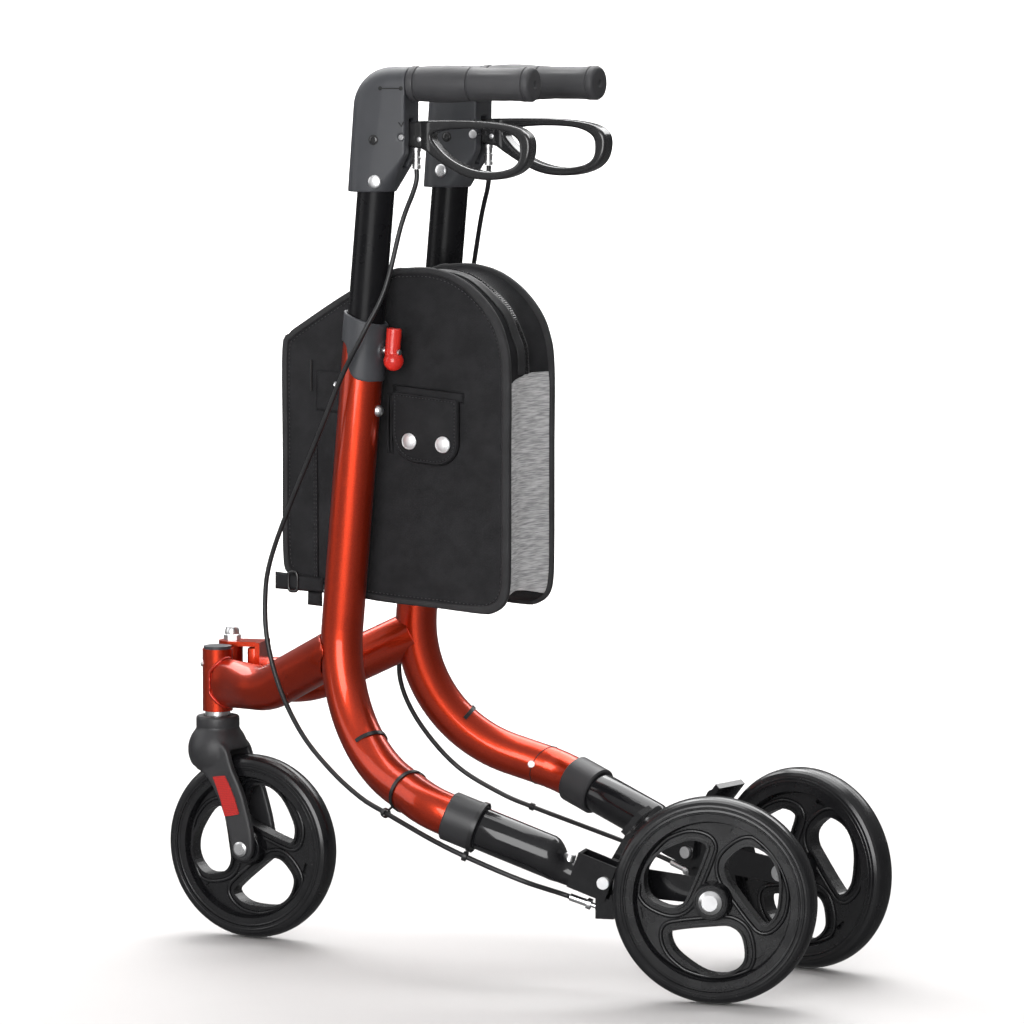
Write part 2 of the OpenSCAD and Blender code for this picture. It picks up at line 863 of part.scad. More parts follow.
// Cable ties with an eye for the cable
tie_t = 1.2;
tie_w = 4;
tie_gap = 0.25;
eye_r = cable_r + tie_t;
bend_tie_turn = 51;
strap_off = 30;
strap_cut_r = 45;
module band(at, way, r) {
  difference() {
    rod(at - way * tie_w / 2, at + way * tie_w / 2, r + tie_gap + tie_t);
    rod(at - way * tie_w, at + way * tie_w, r + tie_gap);
  }
}
module eye_tie(at, way, r, cable_at) {
  off = cable_at - at;
  flat = off - way * (off * way);
  hold = at + flat;
  band(at, way, r);
  difference() {
    union() {
      rod(hold - way * tie_w / 2, hold + way * tie_w / 2, eye_r + tie_t);
      rod(at + unit(flat) * (r + tie_gap + tie_t / 2), hold - unit(flat) * (eye_r + tie_t / 2), tie_t);
    }
    rod(hold - way * tie_w, hold + way * tie_w, eye_r);
  }
}
module bend_tie() {
  a = up(tube_top);
  b = up(bend_height);
  centre = bend_centre(a, b, knee, bend_r);
  u = unit(a - b);
  e1 = unit(b + u * tangent_len(a, b, knee, bend_r) - centre);
  at = centre + bend_r * (cos(bend_tie_turn) * e1 - sin(bend_tie_turn) * u);
  way = unit(-sin(bend_tie_turn) * e1 - cos(bend_tie_turn) * u);
  off = unit(at - centre) * strap_off;
  difference() {
    band(at, way, tube_r);
    rod(at + off - way * tie_w, at + off + way * tie_w, strap_cut_r);
  }
}
module left_cable_ties() {
  color("black") {
    bend_tie();
    eye_tie(on_splay((left_route[14] - up(bend_height)) * splay_dir), splay_dir, tube_r, left_route[14]);
    eye_tie(on_leg((left_route[16] - knee) * leg_dir), leg_dir, leg_collar_d / 2, left_route[16]);
  }
}
module right_cable_ties() {
  at = right_route[12];
  flip = [at.x, -at.y, at.z];
  next = [right_route[13].x, -right_route[13].y, right_route[13].z];
  prev = [right_route[11].x, -right_route[11].y, right_route[11].z];
  color("black") {
    bend_tie();
    band(flip, unit(next - prev), cable_r);
  }
}

// Brake cables, with their routes as hand chosen points
eye_at = 127.4;
eye_off = [-15.4, -18.7, -19.7];
left_route = [
  [-57, -80, 772], [-64, -92, 740], [-75, -105, 678], [-94, -113, 636], [-119, -113, 592],
  [-152, -107, 526], [-187, -103, 455], [-208, -102, 403], [-214, -102, 366], [-211, -103, 322],
  [-193, -108, 274], [-162, -118, 232], [-122, -130, 200], [-84, -140, 178], on_splay(eye_at) + eye_off,
  [-4, -148, 145], [35, -147, 130], [92, -140, 110]
];
right_route = [
  [-58, 80, 772], [-72, 92, 740], [-92, 107, 672], [-110, 112, 600], [-128, 110, 520],
  [-146, 107, 440], [-163, 105, 360], [-174, 105, 290], [-172, 108, 252], [-153, 116, 212],
  [-118, 127, 172], [-72, 136, 146], [-38, 140, 134], [10, 140, 121], [80, 134, 104]
];
route_steps = 4;
route_mid = 400;
route_drop = 22.4;
cable_sides = 8;
// Points above the middle of the route follow the height of the handle
function lifted(p, first, top) = p.z < route_mid
  ? p
  : [p.x, p.y, route_mid + (p.z - route_mid) * (top - route_drop - route_mid) / (first.z - route_mid)];
function cable_run(route, side) = let (f = adjuster_from - adjuster_dir * pass / 2, b = adjuster_dir * cable_d * 2)
  let (h = handle_pt(pivot_x + ferrule_x, pivot_z + ferrule_low - pass))
  concat(
    [[h.x, side * h.y, h.z], [h.x, side * h.y, h.z - 2 * cable_d]], [for (p = route) lifted(p, route[0], h.z)],
    [[f.x - b.x, side * (f.y - b.y), f.z - b.z], [f.x, side * f.y, f.z]]
  );
module left_brake_cable() {
  color("black")
    cord(open_curve(cable_run(left_route, 1), route_steps), cable_r, cable_sides);
}
module right_brake_cable() {
  color("black")
    cord(open_curve(cable_run(right_route, -1), route_steps), cable_r, cable_sides);
}

// Sliding post, moulded handle housing and grip
post_top_below = 34;
key_w = 6;
key_deep = 1;
module post() {
  low = post_low / cos(lean);
  top = (grip_height - post_top_below) / cos(lean);
  color("black")
    upright_axis()
      difference() {
        translate([0, 0, low])
          cylinder(h = top - low, r = post_r);
        translate([0, 0, low - over])
          cylinder(h = top - low + 2 * over, r = post_r - post_wall);
        translate([post_r - key_deep, -key_w / 2, low - over])
          cube([post_d, key_w, top - low + 2 * over]);
      }
}
housing_r = 21;
housing_back = 4;
housing_front = 17;
housing_elbow_r = 19.5;
housing_turn_r = 22;
housing_turn_x = 9.5;
lobe_r = 8;
lobe_w = 32;
lobe_x = 22;
lobe_deep = 66;
pivot_x = 26;
pivot_z = -52;
pivot_r = 3;
grip_from = 30;
bar_end_gap = 10;
lever_neck_w = 10;
hull_facets = 32;
module housing() {
  drop = -housing_high;
  seam_len = 4;
  slab = 2;
  color([0.22, 0.22, 0.24]) {
    difference() {
      handle_frame()
        hull($fn = hull_facets) {
          for (x = [-housing_front, -housing_front / 2 - housing_back / 2])
            translate([x, 0, drop])
              cylinder(h = slab, r = housing_r, $fn = hull_facets);
          translate([housing_turn_x, 0, grip_r - housing_elbow_r - housing_turn_r])
            rotate([90, 0, 0])
              rotate([0, 0, 90])
                rotate_extrude(angle = 90, $fn = hull_facets)
                  translate([housing_turn_r, 0])
                    circle(housing_elbow_r, $fn = hull_facets);
          translate([grip_from - seam_len, 0, 0])
            rotate([0, 90, 0])
              cylinder(h = seam_len, r = grip_r, $fn = hull_facets);
          for (z = [pivot_z, -lobe_deep])
            translate([lobe_x, 0, z])
              rotate([90, 0, 0])
                cylinder(h = lobe_w, r = lobe_r, center = true, $fn = hull_facets);
        }
      upright_axis()
        translate([0, 0, (grip_height + drop) / cos(lean) - 2 * over])
          cylinder(h = (-drop - post_top_below) / cos(lean) + 2 * over + seat, r = post_r + seat);
      handle_frame() {
        translate([pivot_x - lobe_r - over, -lever_neck_w / 2 - pass, -lobe_deep - 2 * lobe_r])
          cube([2 * lobe_r + 2 * over, lever_neck_w + 2 * pass, lobe_deep + 2 * lobe_r - post_top_below]);
        across(pivot_x, pivot_z, -housing_r, housing_r, pivot_r + seat);
      }
    }
    handle_frame()
      translate([grip_from, 0, 0])
        rotate([0, 90, 0])
          cylinder(h = grip_len - bar_end_gap, r = bar_r);
  }
}
grip_seam_at = 66;
grip_seam_deep = 1;
grip_swell = 1.4;
grip_edge = 3;
dimple_r = 3;
dimple_deep = 1;
module grip() {
  swell = [for (i = [0 : 8]) [grip_r + grip_swell * sin(180 * i / 8), grip_edge + (grip_seam_at - 2 * grip_edge) * i / 8]];
  color([0.2, 0.2, 0.22])
    handle_frame()
      translate([grip_from + seat, 0, 0])
        rotate([0, 90, 0])
          rotate_extrude()
            polygon(concat(
              [[bar_r + seat, 0], [grip_r, 0]], swell,
              [[grip_r, grip_seam_at - grip_seam_deep], [grip_r - grip_seam_deep, grip_seam_at],
              [grip_r, grip_seam_at + grip_seam_deep], [grip_r, grip_len - grip_edge],
              [grip_r - grip_edge / 3, grip_len - grip_edge / 3], [grip_r - grip_edge, grip_len],
              [dimple_r, grip_len], [dimple_r, grip_len - dimple_deep], [0, grip_len - dimple_deep],
              [0, grip_len - bar_end_gap], [bar_r + seat, grip_len - bar_end_gap]]
            ));
}
module handle_fasteners() {
  head_r1 = 6;
  screw_r = 4;
  head_h = 2;
  rivet_x = -13;
  rivet_z = -97;
  screw_x = -14;
  screw_z = -55;
  screw_side = housing_r - head_h / 4;
  color("silver")
    handle_frame() {
      across(pivot_x, pivot_z, -lobe_w / 2, lobe_w / 2, pivot_r);
      for (side = [-1, 1]) {
        across(rivet_x, rivet_z, side * (housing_r + head_h / 2 + run) - head_h / 2,
          side * (housing_r + head_h / 2 + run) + head_h / 2, head_r1);
        across(screw_x, screw_z, side * (screw_side + head_h / 2) - head_h / 2,
          side * (screw_side + head_h / 2) + head_h / 2, screw_r);
      }
    }
}

// Brake lever as a closed finger loop
lever_shares = [
  [0.036, 0.30], [0.3, 0.3], [0.54, 0.28], [0.82, 0.17], [0.935, 0.185], [1, -0.07], [0.964, -0.52],
  [0.877, -0.6], [0.7, -0.7], [0.456, -0.65], [0.30, -0.46], [0.138, -0.17], [0.058, -0.2],
  [-0.035, -0.13], [-0.045, 0.07], [-0.012, 0.22]
];
loop_shares = [
  [0.2, 0], [0.456, 0.13], [0.82, 0.05], [0.895, -0.12], [0.875, -0.44], [0.7, -0.59], [0.56, -0.58], [0.34, -0.31]
];
lever_neck_share = 0.13;
lever_splay = 5;
ferrule_r = 3.5;
ferrule_x = 9;
ferrule_top = -8;
ferrule_low = -31;
module brake_lever() {
  neck_cut = (lever_w - lever_neck_w) / 2;
  neck_len2 = lever_len * lever_neck_share;
  color([0.06, 0.06, 0.06])
    handle_frame()
      translate([pivot_x, 0, pivot_z])
        difference() {
          union() {
            rotate([90, 0, -lever_splay])
              linear_extrude(lever_w, center = true)
                difference() {
                  polygon(loop_curve(sized(lever_shares, lever_len, lever_depth), 4));
                  polygon(loop_curve(sized(loop_shares, lever_len, lever_depth), 5));
                }
            translate([ferrule_x, 0, ferrule_low])
              cylinder(h = ferrule_top - ferrule_low, r = ferrule_r);
          }
          for (side = [-1, 1])
            translate([neck_len2 - lever_len, side * (lever_w - neck_cut + over) / 2 - (neck_cut + over) / 2, -lever_depth])
              cube([lever_len, neck_cut + over, 2 * lever_depth]);
          across(0, 0, -lever_w, lever_w, pivot_r + run);
        }
}

// Castor fork, stem, axle and reflectors
fork_gap = 3.5;
fork_in = tyre_w / 2 + fork_gap;
fork_axle_r = 13;
fork_rise = 13;
fork_shares = [
  [-0.105, 0.739], [0.07, 0.649], [0.202, 0.551], [0.325, 0.437], [0.456, 0.273], [0.526, 0.135], [0.553, 0.061],
  [0.649, 0.011], [0.772, 0], [0.895, 0.016], [0.982, 0.073], [1, 0.176], [0.947, 0.314], [0.877, 0.429],
  [0.789, 0.559], [0.675, 0.673], [0.572, 0.763], [0.5, 0.861], [0.421, 0.943], [0.211, 0.992], [0, 0.992],
  [-0.158, 0.927], [-0.193, 0.829]
];
reflector_shares = [
  [0.168, 0.693], [0.25, 0.61], [0.345, 0.495], [0.425, 0.37], [0.58, 0.38], [0.733, 0.398], [0.65, 0.51],
  [0.545, 0.617], [0.428, 0.709], [0.3, 0.702]
];
crown_z = 193;
tyre_room = 6;
crown_lap = 0.7;
top_cap_r = 22;
top_cap_h = 12;
stem_flange_r = 13;
stem_flange_h = 4;
fork_low = front_r - fork_axle_r;
function fork_points(shares) = [
  for (p = sized(shares, trail + fork_axle_r + over, crown_z + fork_rise - fork_low)) [p.x, fork_low + p.y]
];
module castor_fork() {
  cap_low = head_low - pass - stem_flange_h - top_cap_h;
  color([0.16, 0.16, 0.17])
    translate([head_x, 0, 0])
      difference() {
        union() {
          difference() {
            union() {
              translate([0, 0, crown_z])
                sphere(r = crown_d / 2);
              translate([0, 0, cap_low])
                cylinder(h = top_cap_h, r = top_cap_r);
            }
            across(trail, front_r, -fork_in - crown_lap, fork_in + crown_lap, front_r + tyre_room);
          }
          for (y = [-fork_in, fork_in + fork_t])
            translate([0, y, 0])
              rotate([90, 0, 0])
                linear_extrude(fork_t)
                  polygon(loop_curve(fork_points(fork_shares), 2));
        }
        across(trail, front_r, -crown_d, crown_d, axle_r + seat);
        translate([0, 0, crown_z])
          cylinder(h = crown_d, r = stem_r + seat);
      }
}
module castor_stem() {
  stem_top = head_high - bearing_h;
  color("silver")
    translate([head_x, 0, 0]) {
      translate([0, 0, crown_z + seat])
        cylinder(h = stem_top - crown_z, r = stem_r);
      translate([0, 0, head_low - pass - stem_flange_h + seat])
        cylinder(h = stem_flange_h, r = stem_flange_r);
    }
}
reflector_t = 1.2;
module reflectors() {
  side = fork_in + fork_t + seat;
  color("red")
    translate([head_x, 0, 0])
      for (y = [-side, side + reflector_t])
        translate([0, y, 0])
          rotate([90, 0, 0])
            linear_extrude(reflector_t)
              polygon(fork_points(reflector_shares));
}
module front_place()
  translate([head_x + trail, 0, front_r])
    children();
module front_axle() {
  color("silver")
    front_place() {
      across(0, 0, -fork_in - fork_t, fork_in + fork_t, axle_r);
      for (y = [-1, 1])
        translate([0, y * (fork_in + fork_t + seat), 0])
          rotate([-90 * y, 0, 0])
            rotate_extrude()
              polygon([[0, 0], [cap_r * 2 / 3, 0], [cap_r * 2 / 3, cap_h / 3], [cap_r / 2, cap_h * 2 / 3], [0, cap_h * 2 / 3]]);
    }
}
module front_tyre() {
  color([0.08, 0.08, 0.08])
    front_place()
      tyre(front_r);
}
module front_rim() {
  front_place()
    mirror([0, 0, 1])
      rim(front_r);
}
module front_bushes() {
  front_place()
    bushes();
}

// Bag with stiff side panels, folded gusset and a pocket flap
bag_shares = [
  [0.019, 0.085], [0.078, 0.058], [0.388, 0.023], [0.698, 0.009], [0.876, 0], [0.93, 0.003], [0.977, 0.026],
  [0.996, 0.073], [1, 0.19], [1, 0.45], [1, 0.716], [0.977, 0.813], [0.934, 0.877], [0.86, 0.936], [0.764, 0.98],
  [0.655, 1], [0.547, 0.998], [0.488, 0.991], [0.298, 0.924], [0.081, 0.825], [0.027, 0.795], [0, 0.751],
  [0, 0.45], [0, 0.146]
];
gusset_t = 2.5;
gusset_in = 3;
clip_t = 3;
clip_high = 12;
clip_turn = 230;
clip_low = 366;
clip_share = 0.365;
clip_below = 110;
clip_top = min(bag_low + bag_high * clip_share, tube_top - clip_below);
module bag_outline(inset) {
  translate([bag_front + inset, bag_low + inset])
    polygon(loop_curve(sized(bag_shares, bag_len - 2 * inset, bag_high - 2 * inset), 3));
}
module bag_slab(y1, y2) {
  translate([0, y2, 0])
    rotate([90, 0, 0])
      linear_extrude(y2 - y1)
        bag_outline(0);
}
module bag_panel() {
  color([0.13, 0.13, 0.14]) {
    bag_slab(-bag_half, -bag_half + panel_t);
    for (z = [clip_low, clip_top]) {
      at = up(z);
      difference() {
        translate(at)
          rotate([0, 0, -clip_turn / 2 + 90])
            rotate_extrude(angle = clip_turn)
              translate([tube_r + pass, 0])
                square([clip_t, clip_high]);
        translate([at.x - tube_d, -bag_half, z - over])
          cube([2 * tube_d, bag_half, clip_high + 2 * over]);
        upright_axis()
          cylinder(h = tube_top, r = tube_r + pass / 2);
      }
      difference() {
        translate([at.x - clip_high / 2, -upright_half, z])
          cube([clip_high, upright_half - bag_half + panel_t / 2, clip_high]);
        translate(at)
          translate([0, 0, -over])
            cylinder(h = clip_high + 2 * over, r = tube_r + pass + clip_t / 2);
      }
    }
  }
}
rear_low_share = 0.06;
rear_high_share = 0.7;
fold_deep = 14;
module bag_gusset() {
  half = bag_half - panel_t;
  color([0.12, 0.12, 0.13])
    translate([0, half - pass, 0])
      rotate([90, 0, 0])
        linear_extrude(2 * half - pass)
          difference() {
            bag_outline(gusset_in);
            bag_outline(gusset_in + gusset_t);
            translate([bag_front + bag_len / 2, bag_low + bag_high * rear_low_share])
              square([bag_len, bag_high * (rear_high_share - rear_low_share)]);
          }
}
module bag_rear_gusset() {
  half = bag_half - panel_t - pass / 2;
  back = bag_front + bag_len - gusset_in;
  color("gray")
    translate([0, 0, bag_low + bag_high * rear_low_share + pass])
      linear_extrude(bag_high * (rear_high_share - rear_low_share) - 2 * pass)
        polygon([
          [back, -half], [back - fold_deep, 0], [back, half], [back - gusset_t, half],
          [back - fold_deep - gusset_t, 0], [back - gusset_t, -half]
        ]);
}
flap_w = 80;
flap_h = 70;
flap_t = 2;
flap_x_share = 0.643;
flap_z_share = 0.532;
flap_round = 14;
flap_at = [bag_front + bag_len * flap_x_share, -bag_half - seat, bag_low + bag_high * flap_z_share];
module pocket_flap() {
  color([0.1, 0.1, 0.11])
    translate(flap_at)
      rotate([90, 0, 0])
        linear_extrude(flap_t)
          round_square(flap_w, flap_h, flap_round);
}
snap_r = 8;
snap_h = 1.5;
module flap_snaps() {
  color("silver")
    for (x = [-1, 1])
      translate(flap_at + [x * flap_w / 4, -flap_t - seat, -flap_h / 6])
        rotate([90, 0, 0])
          cylinder(h = snap_h, r = snap_r);
}

// One line for each piece
main_tube();  // left_main_tube
left_front_arm();
head_tube();
head_cap();
head_bearings();
post_clamp();  // left_post_clamp
leg_collar();  // left_leg_collar
leg_tube();  // left_leg_tube
wheel_bracket();  // left_wheel_bracket
rear_axle();  // left_rear_axle
cable_adjuster();  // left_cable_adjuster
left_brake_cable();
left_cable_ties();
frame_fasteners();  // left_frame_fasteners
bag_panel();  // bag_left_panel
bag_gusset();
bag_rear_gusset();
pocket_flap();
flap_snaps();
on_side("right") main_tube();  // right_main_tube
on_side("right") right_arm_body();  // right_front_arm
hinge_bolt();
on_side("right") post_clamp();  // right_post_clamp
on_side("right") leg_collar();  // right_leg_collar
on_side("right") leg_tube();  // right_leg_tube
on_side("right") wheel_bracket();  // right_wheel_bracket
on_side("right") rear_axle();  // right_rear_axle
on_side("right") cable_adjuster();  // right_cable_adjuster
right_brake_cable();
on_side("right") right_cable_ties();
on_side("right") frame_fasteners();  // right_frame_fasteners
on_side("right") bag_panel();  // bag_right_panel
post();  // left_post
housing();  // left_handle_housing
grip();  // left_grip
handle_fasteners();  // left_handle_fasteners
on_side("right") post();  // right_post
on_side("right") housing();  // right_handle_housing
on_side("right") grip();  // right_grip
on_side("right") handle_fasteners();  // right_handle_fasteners
brake_lever();  // left_brake_lever
on_side("right") brake_lever();  // right_brake_lever
lock_lever();  // left_lock_lever
on_side("right") lock_lever();  // right_lock_lever
brake_arm();  // left_brake_arm
on_side("right") brake_arm();  // right_brake_arm
rear_tyre();  // left_rear_tyre
rear_rim();  // left_rear_rim
rear_bushes();  // left_rear_bushes
on_side("right") rear_tyre();  // right_rear_tyre
on_side("right") rear_rim();  // right_rear_rim
on_side("right") rear_bushes();  // right_rear_bushes
castor_fork();
castor_stem();
reflectors();
front_axle();
front_tyre();
front_rim();
front_bushes();
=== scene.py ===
import bpy
import json
import math
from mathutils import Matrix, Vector


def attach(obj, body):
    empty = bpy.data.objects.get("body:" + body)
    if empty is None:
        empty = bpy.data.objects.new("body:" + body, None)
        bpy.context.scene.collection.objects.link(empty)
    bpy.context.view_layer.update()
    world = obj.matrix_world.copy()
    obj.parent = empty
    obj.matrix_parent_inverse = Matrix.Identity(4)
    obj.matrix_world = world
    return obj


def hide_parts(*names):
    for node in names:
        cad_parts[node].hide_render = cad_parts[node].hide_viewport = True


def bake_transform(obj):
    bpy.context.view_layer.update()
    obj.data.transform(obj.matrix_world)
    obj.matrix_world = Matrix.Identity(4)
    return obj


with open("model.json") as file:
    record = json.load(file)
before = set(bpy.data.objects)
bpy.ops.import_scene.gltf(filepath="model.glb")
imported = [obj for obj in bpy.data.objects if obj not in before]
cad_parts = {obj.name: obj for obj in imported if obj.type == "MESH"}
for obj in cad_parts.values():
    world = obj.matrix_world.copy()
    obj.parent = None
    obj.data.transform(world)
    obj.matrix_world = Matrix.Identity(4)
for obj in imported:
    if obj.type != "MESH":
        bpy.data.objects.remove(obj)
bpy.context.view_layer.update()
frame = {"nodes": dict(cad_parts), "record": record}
nodes = frame["nodes"]
scene = bpy.context.scene
mm = 0.001
bothSides = ("left", "right")
upward = (0, 0, 1)
print("frame loaded:", len(nodes), "nodes")


# picking and small helpers

def clearPick():
    if bpy.context.object and bpy.context.object.mode != "OBJECT":
        bpy.ops.object.mode_set(mode="OBJECT")
    bpy.ops.object.select_all(action="DESELECT")


def pickOnly(obj):
    clearPick()
    obj.select_set(True)
    bpy.context.view_layer.objects.active = obj
    return obj


# camera at the photo's place
cameraSet = {
    "place": (2.315, -4.470, 0.939), "turn": 27.27, "down": 5.52, "lens": 178.5, "sensor": 36, "reach": 60,
}
clearPick()
bpy.ops.object.camera_add(
    location=cameraSet["place"],
    rotation=(math.radians(90 - cameraSet["down"]), 0, math.radians(cameraSet["turn"])))
scene.camera = bpy.context.active_object
scene.camera.data.lens = cameraSet["lens"]
scene.camera.data.sensor_width = cameraSet["sensor"]
scene.camera.data.clip_end = cameraSet["reach"]
scene.view_settings.view_transform = "Standard"
print("camera set")


def blendPoint(a, b, c, d, t):
    return (2 * b + (c - a) * t + (2 * a - 5 * b + 4 * c - d) * t * t + (3 * b - a - 3 * c + d) * t ** 3) / 2


def curveThrough(points, steps, closed=False):
    # smooth run through points, with steps between each two
    pts = [Vector(p) for p in points]
    n = len(pts)

    def at(i):
        return pts[i % n] if closed else pts[max(0, min(i, n - 1))]

    out = [
        blendPoint(at(i - 1), at(i), at(i + 1), at(i + 2), k / steps)
        for i in range(n if closed else n - 1) for k in range(steps)]
    return out if closed else out + pts[-1:]


def evenLoop(points, count):
    lengths = [0.0]
    for a, b in zip(points, points[1:] + points[:1]):
        lengths.append(lengths[-1] + (b - a).length)
    total = lengths[-1]
    out, k = [], 0
    for i in range(count):
        want = total * i / count
        while lengths[k + 1] < want:
            k += 1
        share = (want - lengths[k]) / (lengths[k + 1] - lengths[k])
        out.append(points[k].lerp(points[(k + 1) % len(points)], share))
    return out, total


def loopNormals(points):
    ways = [(b - a).normalized() for a, b in zip(points[-1:] + points[:-1], points[1:] + points[:1])]
    return [Vector((t.y, -t.x)) for t in ways]


def turns(count):
    return [2 * math.pi * k / count for k in range(count)]


def squared(value, power):
    # sine or cosine pushed outward, for rounded oblongs
    return math.copysign(abs(value) ** power, value)


def mixed(low, high, at, value):
    # smooth step of value from low to high
    t = max(0.0, min(1.0, (value - low) / (high - low)))
    return at * t * t * (3 - 2 * t)


def gridFaces(across, along):
    # quads of an open grid with along + 1 points in a row
    w = along + 1
    corners = [c * w + r for c in range(across) for r in range(along)]
    return [(k, k + 1, k + w + 1, k + w) for k in corners]


def domeFaces(rings, n):
    # closed rings of n points, and a last point in the middle
    faces = [
        (r * n + i, r * n + (i + 1) % n, (r + 1) * n + (i + 1) % n, (r + 1) * n + i)
        for r in range(rings - 1) for i in range(n)]
    last = (rings - 1) * n
    return faces + [(last + i, last + (i + 1) % n, rings * n) for i in range(n)]


def linked(name, data):
    obj = bpy.data.objects.new(name, data)
    scene.collection.objects.link(obj)
    return pickOnly(obj)


def wholeMesh(obj, step, **values):
    # one edit step over all of a piece
    pickOnly(obj)
    bpy.ops.object.mode_set(mode="EDIT")
    bpy.ops.mesh.select_all(action="SELECT")
    step(**values)
    bpy.ops.object.mode_set(mode="OBJECT")


def faceOut(obj):
    wholeMesh(obj, bpy.ops.mesh.normals_make_consistent, inside=False)


def meshPiece(name, verts, faces, material, smooth=True):
    mesh = bpy.data.meshes.new(name)
    mesh.from_pydata([tuple(v) for v in verts], [], faces)
    mesh.materials.append(material)
    obj = linked(name, mesh)
    faceOut(obj)
    if smooth:
        bpy.ops.object.shade_smooth_by_angle(angle=math.radians(40))
    return obj


def faceTowards(obj, way):
    # an open sheet has no outside, so its normals are turned to one direction
    if sum(f.normal.dot(Vector(way)) * f.area for f in obj.data.polygons) < 0:
        wholeMesh(obj, bpy.ops.mesh.flip_normals)


def applyModifier(obj, kind, **values):
    pickOnly(obj)
    mod = obj.modifiers.new(kind.title(), kind)
    for key, value in values.items():
        setattr(mod, key, value)
    bpy.ops.object.modifier_apply(modifier=mod.name)
    return obj


def settle(obj):
    pickOnly(obj)
    bpy.ops.object.transform_apply(location=True, rotation=True, scale=True)
    return obj


def placed(obj, centre, way):
    # a piece made along Z, stood at centre along way
    obj.rotation_euler = Vector(way).to_track_quat("Z", "Y").to_euler()
    obj.location = centre
    return settle(obj)


def dress(obj, name, material, angle=35):
    obj.name = name
    obj.data.name = name
    obj.data.materials.clear()
    obj.data.materials.append(material)
    pickOnly(obj)
    bpy.ops.object.shade_smooth_by_angle(angle=math.radians(angle))
    return obj


def turned(name, rings, centre, way, material, sides=32):
    # round piece drawn out of a circle ring by ring; rings are (radius, height) in mm along way
    clearPick()
    radius, height = rings[0]
    bpy.ops.mesh.primitive_circle_add(vertices=sides, radius=radius * mm, fill_type="NGON", location=(0, 0, 0))
    obj = bpy.context.active_object
    bpy.ops.object.mode_set(mode="EDIT")
    bpy.ops.mesh.select_all(action="SELECT")
    bpy.ops.transform.translate(value=(0, 0, height * mm))
    for r, h in rings[1:]:
        bpy.ops.mesh.extrude_region_move(TRANSFORM_OT_translate={"value": (0, 0, (h - height) * mm)})
        bpy.ops.transform.resize(value=(r / radius, r / radius, 1), center_override=(0, 0, h * mm))
        radius, height = r, h
    faceOut(obj)
    return dress(placed(obj, centre, way), name, material)


def ringBead(name, centre, way, radius, thick, material):
    clearPick()
    bpy.ops.mesh.primitive_torus_add(
        major_radius=radius, minor_radius=thick, major_segments=96, minor_segments=10, location=(0, 0, 0))
    return dress(placed(bpy.context.active_object, centre, way), name, material)


def addSpline(curve, points, closed):
    spline = curve.splines.new("POLY")
    spline.points.add(len(points) - 1)
    spline.use_cyclic_u = closed
    for point, place in zip(spline.points, points):
        point.co = (*place, 1)


def curveToMesh(name, curve):
    linked(name, curve)
    bpy.ops.object.convert(target="MESH")
    return bpy.context.active_object


def tubeAlong(name, points, thick, material, closed=False, sides=3):
    # round wire, bead or strand along points
    curve = bpy.data.curves.new(name, "CURVE")
    curve.dimensions = "3D"
    curve.bevel_depth = thick
    curve.bevel_resolution = sides
    curve.use_fill_caps = not closed
    addSpline(curve, points, closed)
    return dress(curveToMesh(name, curve), name, material, 60)


def joined(objs, name):
    clearPick()
    for obj in objs:
        obj.select_set(True)
    bpy.context.view_layer.objects.active = objs[0]
    bpy.ops.object.join()
    objs[0].name = name
    objs[0].data.name = name
    return objs[0]


def rounded(obj, voxel, rounds):
    wholeMesh(obj, bpy.ops.mesh.remove_doubles, threshold=0.00001)
    applyModifier(obj, "REMESH", mode="VOXEL", voxel_size=voxel)
    return applyModifier(obj, "SMOOTH", factor=0.5, iterations=rounds)


def softCopy(node, name, material, voxel, rounds, keep=1.0):
    # moulded or cast look: the node's own form with its edges rounded off
    obj = rounded(linked(name, nodes[node].data.copy()), voxel, rounds)
    if keep < 1:
        applyModifier(obj, "DECIMATE", ratio=keep)
    return dress(obj, name, material, 60)


def carried(obj, body, slotName, *replaced):
    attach(obj, body)
    if replaced:
        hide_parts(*replaced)
    return obj


def landOn(obj, start, way):
    # where a straight line first meets a piece
    bpy.context.view_layer.update()
    hit, place, normal, _ = obj.ray_cast(Vector(start), Vector(way).normalized())
    return (place, normal) if hit else (Vector(start), -Vector(way).normalized())


# shared shader effects

def newGroup(name, inputs, outputs):
    group = bpy.data.node_groups.new(name, "ShaderNodeTree")
    for label, value in inputs.items():
        socket = group.interface.new_socket(name=label, in_out="INPUT", socket_type="NodeSocketFloat")
        socket.default_value = value
    for label in outputs:
        group.interface.new_socket(name=label, in_out="OUTPUT", socket_type="NodeSocketFloat")
    return group, group.nodes.new("NodeGroupInput"), group.nodes.new("NodeGroupOutput")


def addNode(tree, kind, **values):
    # a value goes to the input of that name, or else to the node's own setting
    node = tree.nodes.new("ShaderNode" + kind)
    for key, value in values.items():
        label = key.replace("_", " ")
        if label in node.inputs:
            node.inputs[label].default_value = value
        else:
            setattr(node, key, value)
    return node


def wire(tree, *runs):
    # each run is (node, output, node, input)
    for source, label, target, socket in runs:
        tree.links.new(source.outputs[label], target.inputs[socket])


def easedRange(tree, low, high, toLow, toHigh):
    return addNode(
        tree, "MapRange", interpolation_type="SMOOTHSTEP", From_Min=low, From_Max=high, To_Min=toLow, To_Max=toHigh)


